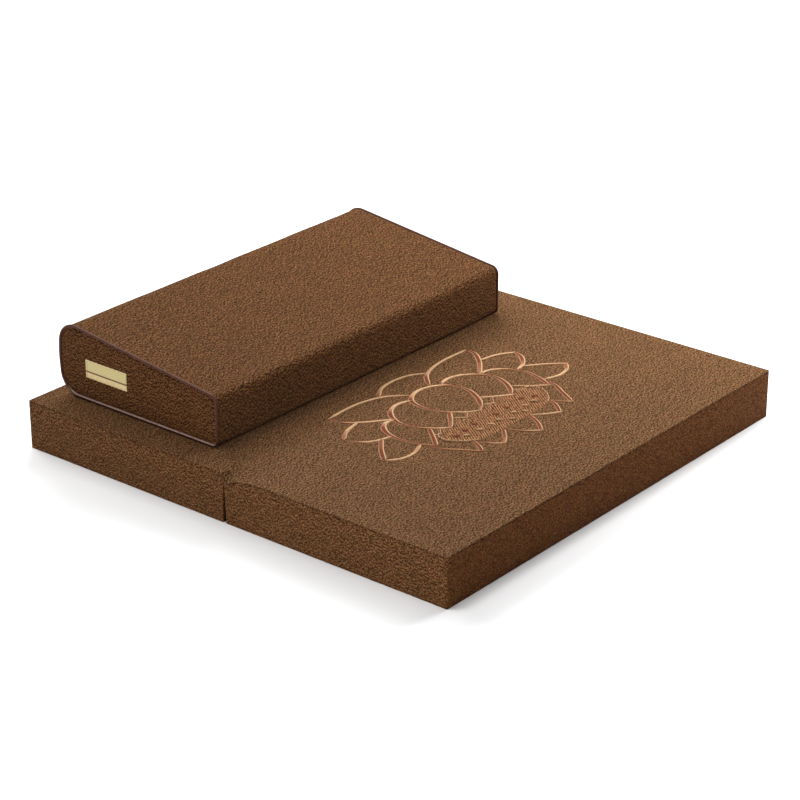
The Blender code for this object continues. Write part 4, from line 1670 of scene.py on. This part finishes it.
@dataclass
class Lotus:
    """The lotus embroidered on the front half: petals in satin stitch, and a hatched seed head.

    The strokes and the seeds follow a flattened view of the photograph. They were read off it, the
    strokes on one side and then mirrored. The shift, stretch and turn fit the design to the one in the
    photograph.
    """

    mat: MatForm
    shift: Pair = (-0.0027, -0.0076)
    stretch: Pair = (0.982, 0.988)
    turn: float = 0.009
    lift: float = 0.0002
    pitch: float = 0.00085
    thread_radius: float = 0.00048
    arch: float = 0.0016
    slant: float = 0.30
    # The lie whose stitches are painted brightest, and the side whose stitch edges get painted highlights.
    bright_degrees: float = 165.0
    view_degrees: float = -50.7
    shine_degrees: float = -12.0
    tone_span: Pair = (0.46, 0.96)
    slimness: float = 0.90
    upright_gain: float = 0.92
    upright_power: float = 5.0
    upright_lean: float = 10.0
    upright_shift: float = 0.0034
    pod_half_width: float = 0.120
    pod_bottom: float = -0.210
    pod_foot_rise: float = 0.040
    pod_foot_power: float = 6.0
    seed_lift: float = 0.0007
    hatch_pitch: float = 0.0039
    hatch_degrees: float = 53.0
    hatch_drift: float = 0.00040
    hatch_reach: float = 0.12
    hatch_step: float = 0.0012
    hatch_steps: tuple[int, int] = (4, 13)
    hatch_stitch: float = 0.004
    hatch_radius: float = 0.00056
    hatch_tone: float = 0.8
    line_step: float = 0.002
    taper_share: float = 0.10
    edge_half_width: float = 0.0009
    seed_end_half_width: float = 0.0003
    dark_half_width: float = 0.0019
    dark_reach: float = 0.0040
    light_half_width: float = 0.0010
    light_reach: Pair = (0.0035, 0.0065)
    light_turn: Pair = (-0.35, 0.20)
    light_bend: Pair = (-0.001, 0.0045)
    seed_pitch: float = 0.0007
    seed_radius: float = 0.0005
    seed_arch: float = 0.0030
    dark_tones: Pair = (0.9, 1.0)
    light_tones: Pair = (-1.0, -0.9)

    petals: tuple = (
        Stroke(((0, -144.5), (19, -132), (35, -113), (45.5, -92), (48, -71), (41, -48), (24, -32), (0, -25.5)),
               5.1, mirrored=False, joined=True),
        Stroke(((37, -42), (50, -35), (66, -33), (85, -40), (103, -58), (113.5, -81), (110, -105), (97, -128),
                (77, -147.5)), 5.1),
        Stroke(((77, -147.5), (56, -132), (35, -113.5)), 4.6),
        Stroke(((110, -63.5), (124, -61), (140, -71), (153, -90), (158.5, -114), (153, -145), (141, -171)),
               5.0),
        Stroke(((141, -171), (121, -150), (101, -127)), 4.5),
    )
    leaves: tuple = (
        Stroke(((25, -29), (39, -13), (57, 2), (86, 12.5), (122, 16.5), (169.5, 14)), 4.6),
        Stroke(((169.5, 14), (167, -9), (149, -31), (128, -48), (108, -62)), 4.8),
        Stroke(((0, 27.5), (28, 23.5), (46, 14), (58.5, 3.5)), 4.6, mirrored=False, joined=True),
        Stroke(((152, -28), (183, -35), (211, -52)), 4.6),
        Stroke(((211, -52), (204, -73), (185, -89), (159, -97)), 4.8),
        Stroke(((174, -94), (202, -117), (227, -143)), 4.6),
        Stroke(((227, -143), (208, -155.5), (183, -159), (154, -150)), 4.8),
    )
    lower_row: tuple = (
        Stroke(((150, -158), (145, -182), (131, -205), (113.5, -234)), 4.2),
        Stroke(((113.5, -234), (103, -221), (94.5, -203)), 3.8),
        Stroke(((94.5, -203), (88, -222), (71.5, -242)), 3.8),
        Stroke(((71.5, -242), (51, -229), (32, -212)), 3.8),
        Stroke(((32, -212), (19, -238), (0, -259)), 3.8),
        Stroke(((19, -134), (33.5, -144.5)), 2.4),
        Stroke(((33.5, -144.5), (49, -130)), 2.4),
        Stroke(((91, -137), (105.5, -151)), 2.4),
        Stroke(((105.5, -151), (116, -142)), 2.4),
    )
    dark_seeds: tuple = ((-98, -172), (-74.5, -169), (-47.5, -167), (0, -170), (30.5, -169), (71, -166),
                         (92, -177))
    light_seeds: tuple = ((-34, -189), (-14.5, -187), (21.5, -189), (53, -187), (74, -188), (-60, -186),
                          (38, -198), (2, -200), (-88, -183))
    tips_across: tuple = (0.0, 0.020, 0.034, 0.049, 0.077, 0.092, 0.106, 0.119)
    tips_up: tuple = (-0.148, -0.136, -0.147, -0.133, -0.151, -0.139, -0.153, -0.150)

    def lay(self, line: Array, half_width: Array | float) -> Array:
        """Places a line of the design on the top cloth, with its half width as the fourth number."""
        x = line[:, 0] * self.stretch[0]
        y = line[:, 1] * self.stretch[1]
        placed_x = x * math.cos(self.turn) - y * math.sin(self.turn) + self.shift[0]
        placed_y = x * math.sin(self.turn) + y * math.cos(self.turn) + self.shift[1]
        z = self.mat.top_at(placed_x, placed_y) + self.lift
        return np.column_stack([placed_x, placed_y, z, np.full(len(line), 1.0) * half_width])

    def fullness(self, line: Array) -> Array:
        """How nearly a stroke runs in the one direction that is sewn wider, from 0 to 1.

        That is a correction that follows the photograph, and its cause isn't known.
        """
        ahead = np.gradient(line, axis=0)
        ahead = ahead / np.linalg.norm(ahead, axis=1)[:, None]
        lean = math.radians(self.view_degrees + self.upright_lean)
        return np.abs(ahead[:, 1] * math.cos(lean) - ahead[:, 0] * math.sin(lean)) ** self.upright_power

    def paths(self, strokes: tuple) -> list:
        """The strokes' lines on the cloth, with their mirror images."""
        made = []
        for stroke in strokes:
            points = np.array(stroke.points, float) * MILLIMETRE
            if stroke.joined:
                flipped = points[::-1] * (-1, 1)
                if stroke.points[0][0] == 0 and stroke.points[-1][0] == 0:
                    points = np.concatenate([points, flipped[1:]])
                else:
                    points = np.concatenate([flipped, points[1:]])
            for side in ((1, -1) if stroke.mirrored else (1,)):
                line = smooth_path(points * (side, 1), self.line_step)
                t = np.linspace(0.0, 1.0, len(line))
                body = smoothstep(np.minimum(t, 1 - t) / self.taper_share)
                width = stroke.width * MILLIMETRE * (stroke.taper + (1 - stroke.taper) * body)
                fullness = self.fullness(line)
                width = width * (self.slimness + self.upright_gain * fullness)
                line = line - fullness[:, None] * self.upright_shift * np.array(self.across_view()[:2])
                made.append(self.lay(line, width / 2))
        return made

    def sew(self, name: str, paths: list, sewing: Sewing, material: Finish) -> Piece:
        """Satin stitches along the paths."""
        bright = math.radians(self.bright_degrees) + math.pi / 2 + self.slant
        shine = math.radians(self.shine_degrees)
        settings = {
            "Pitch": self.pitch,
            "Thread Radius": self.thread_radius,
            "Arch": self.arch,
            "Slant": self.slant,
            "Bright Lie": (math.cos(bright), math.sin(bright), 0.0),
            "Lit Side": (math.cos(shine), math.sin(shine), 0.0),
            "Tone Low": self.tone_span[0],
            "Tone High": self.tone_span[1],
            "Material": material,
        }
        return grow(curve_object(f"{name}_line", paths), name, sewing.satin, settings)

    def across_view(self) -> tuple[float, float, float]:
        """The direction on the mat that runs to the right in the photograph's view."""
        right = math.radians(self.view_degrees)
        return math.cos(right), math.sin(right), 0.0

    def in_pod(self, x: Array, y: Array) -> Array:
        """Whether points lie in the seed head, below the petals' tips and above its rounded foot."""
        share = np.clip(np.abs(x) / self.pod_half_width, 0.0, 1.0)
        foot = self.pod_bottom + self.pod_foot_rise * share**self.pod_foot_power
        across = np.abs(x)
        petal_tips = np.interp(across, self.tips_across, self.tips_up)
        return (across < self.pod_half_width) & (y > foot) & (y < petal_tips)

    def hatch(self) -> list:
        """Slanting lines that fill the seed head."""
        angle = math.radians(self.hatch_degrees)
        along = np.array([math.cos(angle), math.sin(angle)])
        aside = np.array([-along[1], along[0]])
        middle = np.array([0.0, self.pod_bottom * 0.85])
        reach = self.pod_half_width + 0.04
        chance = np.random.default_rng(7)
        lines = []
        for offset in np.arange(-reach, reach, self.hatch_pitch):
            t = np.arange(-self.hatch_reach, self.hatch_reach, self.hatch_step)
            line = middle + offset * aside + t[:, None] * along
            inside = self.in_pod(line[:, 0], line[:, 1])
            edges = np.flatnonzero(np.diff(np.concatenate([[False], inside, [False]]).astype(int)))
            for start, stop in zip(edges[::2], edges[1::2]):
                while stop - start > 3:
                    piece = line[start:min(stop, start + chance.integers(*self.hatch_steps))]
                    drift = aside * chance.normal(0.0, self.hatch_drift)
                    lines.append(self.lay(piece + drift, 1.0))
                    start += len(piece) + chance.integers(0, 2)
        return lines

    def pod_edge(self) -> list:
        """The seed head's broken outline at its two ends."""
        x = np.linspace(0.088, self.pod_half_width, 30)
        foot = self.pod_bottom + self.pod_foot_rise * (x / self.pod_half_width) ** self.pod_foot_power
        low = np.column_stack([x, foot])
        high = np.array([[self.pod_half_width, foot[-1]], [0.1195, -0.160], [0.114, -0.1495], [0.104, -0.146]])
        line = smooth_path(np.concatenate([low, high[1:]]), 0.001)
        made = []
        for side in (1, -1):
            for start in range(0, len(line) - 5, 9):
                made.append(self.lay(line[start:start + 6] * (side, 1), self.edge_half_width))
        return made

    def seed_paths(self, light: bool) -> list:
        """Short wide strokes, one for each seed of the light or of the dark row."""
        made = []
        lit = np.array(self.across_view()[:2])
        share = np.linspace(-1.0, 1.0, 7)
        half_width = self.light_half_width if light else self.dark_half_width
        chance = np.random.default_rng(3)
        for x, y in (self.light_seeds if light else self.dark_seeds):
            centre = np.array([x, y]) * MILLIMETRE
            turn = chance.uniform(*self.light_turn) if light else 0.0
            ahead = lit * math.cos(turn) + np.array([-lit[1], lit[0]]) * math.sin(turn)
            reach = ahead * (chance.uniform(*self.light_reach) if light else self.dark_reach)
            bend = np.array([-ahead[1], ahead[0]]) * (chance.uniform(*self.light_bend) if light else 0.0)
            line = centre + share[:, None] * reach + (1 - share[:, None] ** 2) * bend
            made.append(self.lay(line, self.seed_end_half_width + half_width * np.sqrt(1 - share**2)))
        if light:
            made += self.pod_edge()
        for path in made:
            path[:, 2] += self.seed_lift
        return made

    def build(self, sewing: Sewing, thread: Finish, hatch_thread: Finish,
              seed_thread: Finish) -> list:
        """Makes the embroidery's pieces."""
        rows = (("lotus_petals", self.petals), ("lotus_leaves", self.leaves), ("lotus_rim", self.lower_row))
        pieces = [self.sew(name, self.paths(strokes), sewing, thread) for name, strokes in rows]
        hatch = {
            "Stitch": self.hatch_stitch,
            "Thread Radius": self.hatch_radius,
            "Tone": self.hatch_tone,
            "Material": hatch_thread,
        }
        pieces.append(grow(curve_object("hatch_line", self.hatch()), "lotus_seed_head", sewing.fill, hatch))
        # The seeds' stitch edges towards the view's right get painted highlights.
        for light, name, tones, material in (
            (False, "lotus_dark_seeds", self.dark_tones, seed_thread),
            (True, "lotus_light_seeds", self.light_tones, thread),
        ):
            settings = {
                "Pitch": self.seed_pitch,
                "Thread Radius": self.seed_radius,
                "Arch": self.seed_arch,
                "Slant": 0.0,
                "Bright Lie": (1.0, 0.0, 0.0),
                "Lit Side": self.across_view(),
                "Tone Low": tones[0],
                "Tone High": tones[1],
                "Material": material,
            }
            guide = curve_object(f"{name}_line", self.seed_paths(light))
            pieces.append(grow(guide, name, sewing.satin, settings))
        return pieces


@dataclass(frozen=True)
class Lamp:
    """A soft lamp that points at the mat.

    A lamp of the sun's kind counts by its direction alone, and its size is an angle.
    """

    name: str
    place: tuple[float, float, float]
    size: float
    power: float
    kind: str = "AREA"


@dataclass(frozen=True)
class Studio:
    """The pale floor, the soft lights and the camera at the photograph's angle."""

    focal_length: float = 114.87
    azimuth: float = -50.7526
    elevation: float = 24.2312
    distance: float = 4.0192
    target: tuple[float, float, float] = (0.0876, 0.0794, 0.0)
    sensor_width: float = 36.0
    floor_side: float = 30.0
    floor_roughness: float = 0.9
    floor_specular: float = 0.1
    floor_colour: Colour = (0.86, 0.86, 0.86)
    backdrop: float = 0.8
    lamps: tuple = (
        Lamp("overhead", (-0.16, 0.20, 1.0), math.radians(14.0), 1.01, "SUN"),
        Lamp("overhead back", (-0.30, 0.36, 1.0), math.radians(18.0), 0.53, "SUN"),
        Lamp("key", (1.5, 1.5, 2.0), 1.5, 73.2),
        Lamp("back", (0.0, 2.0, 2.0), 1.5, 44.8),
        Lamp("right low", (1.0, -0.5, 0.9), 0.8, 20.3),
        Lamp("left low", (-2.2, 0.3, 0.5), 1.4, 3.6),
        Lamp("left front", (-1.5, -0.5, 0.3), 0.5, 6.7),
    )

    def place_camera(self) -> None:
        """Sets the camera."""
        azimuth = math.radians(self.azimuth)
        elevation = math.radians(self.elevation)
        back = Vector((
            math.sin(azimuth) * math.cos(elevation),
            -math.cos(azimuth) * math.cos(elevation),
            math.sin(elevation),
        ))
        data = bpy.data.cameras.new("camera")
        data.lens = self.focal_length
        data.sensor_width = self.sensor_width
        camera = add_object("camera", data)
        camera.location = Vector(self.target) + back * self.distance
        camera.rotation_euler = (-back).to_track_quat("-Z", "Y").to_euler()
        bpy.context.scene.camera = camera

    def place_floor(self) -> None:
        """Sets the pale floor."""
        side = self.floor_side / 2
        mesh = bpy.data.meshes.new("floor")
        corners = [(-side, -side, 0), (side, -side, 0), (side, side, 0), (-side, side, 0)]
        mesh.from_pydata(corners, [], [(0, 1, 2, 3)])
        material, _, _ = new_material("floor", {
            "Base Color": self.floor_colour,
            "Roughness": self.floor_roughness,
            "Specular IOR Level": self.floor_specular,
        })
        mesh.materials.append(material)
        add_object("floor", mesh)

    def light(self) -> None:
        """Sets the soft lights, and a pale backdrop that gives no light itself."""
        for lamp in self.lamps:
            data = bpy.data.lights.new(lamp.name, lamp.kind)
            data.energy = lamp.power
            if lamp.kind == "SUN":
                data.angle = lamp.size
            else:
                data.shape = "DISK"
                data.size = lamp.size
            thing = add_object(lamp.name, data)
            thing.location = lamp.place
            thing.rotation_euler = Vector(lamp.place).to_track_quat("Z", "Y").to_euler()
        world = bpy.data.worlds.new("backdrop")
        world.use_nodes = True
        graph = Graph(world.node_tree)
        background = graph.nodes["Background"]
        background.inputs["Color"].default_value = (1.0, 1.0, 1.0, 1.0)
        seen = graph.add("ShaderNodeLightPath").outputs["Is Camera Ray"]
        graph.feed(background.inputs["Strength"], graph.times(seen, self.backdrop))
        bpy.context.scene.world = world
        bpy.context.scene.view_settings.view_transform = "Standard"

    def build(self) -> None:
        """Sets everything that isn't part of the object."""
        self.place_camera()
        self.place_floor()
        self.light()


def main() -> None:
    """Builds the pieces in order."""
    logging.basicConfig(level=logging.INFO, format="%(name)s: %(message)s")
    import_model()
    Studio().build()
    effects = Effects()
    sewing = Sewing()

    # The dyes differ per piece as painted shade: more saturated on the walls, darker on the wedge.
    top_cloth = ClothFinish("mat_top_cloth", dye_and_painted_shade=(0.92, 0.835, 0.68), grain_length=0.0043).material(effects)
    side_cloth = ClothFinish("mat_side_cloth", dye_and_painted_shade=(0.945, 0.81, 0.625), grain=1.6, grain_length=0.0043,
                              sheen=0.03, notch_shaded=True, front_painted_tint=(1.09, 0.907, 0.68)).material(effects)
    wedge_cloth = ClothFinish("wedge_cloth", dye_and_painted_shade=(0.785, 0.63, 0.425), sheen=0.04).material(effects)
    end_cloth = ClothFinish("wedge_end_cloth", dye_and_painted_shade=(0.755, 0.59, 0.41), grain=2.2, grain_length=0.0041,
                            sheen=0.03).material(effects)
    thread = ThreadFinish("embroidery_thread").material()
    hatch_thread = ThreadFinish("hatch_thread", peach=(0.470, 0.212, 0.092),
                                unevenness=(0.55, 1.35)).material()
    seed_thread = ThreadFinish("seed_thread", rust=(0.170, 0.030, 0.012),
                               cream=(0.30, 0.100, 0.050)).material()
    cord_cloth = PipingFinish("piping").material()

    mat = MatForm.from_frame()
    top = TopCloth(mat).build(top_cloth)
    settle(top, "mat_top_cloth", "mat_top_cloth")
    for half, node in ((Half.FRONT, "mat_front_block"), (Half.BACK, "mat_back_block")):
        panel = Panel(mat, half).build(side_cloth)
        settle(panel, "mat_side_cloth", node)

    wedge = WedgeForm()
    wrap = WedgeWrap(wedge).build(wedge_cloth)
    settle(wrap, "wedge_cloth", "wedge_cushion")
    for end in End:
        side = end.name.lower()
        end_panel = EndPanel(wedge, end)
        panel = end_panel.build(end_cloth)
        settle(panel, "wedge_end_cloth", f"wedge_end_panel_{side}")
        depth, height, area = end_panel.cut()
        cord = Piping(wedge, end).build(sewing, cord_cloth)
        settle(cord, "piping", f"wedge_piping_{side}")
    label = Label(EndPanel(wedge, End.LEFT))
    tape = label.build(LabelFinish("label", label.length, label.height).material())
    settle(tape, "label", "wedge_label")
    tacks = label.sew(sewing, hatch_thread)
    settle(tacks, "label")

    embroidery = Lotus(mat).build(sewing, thread, hatch_thread, seed_thread)
    for piece in embroidery:
        settle(piece, "embroidery_thread")
    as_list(embroidery)


if __name__ == "__main__":
    main()
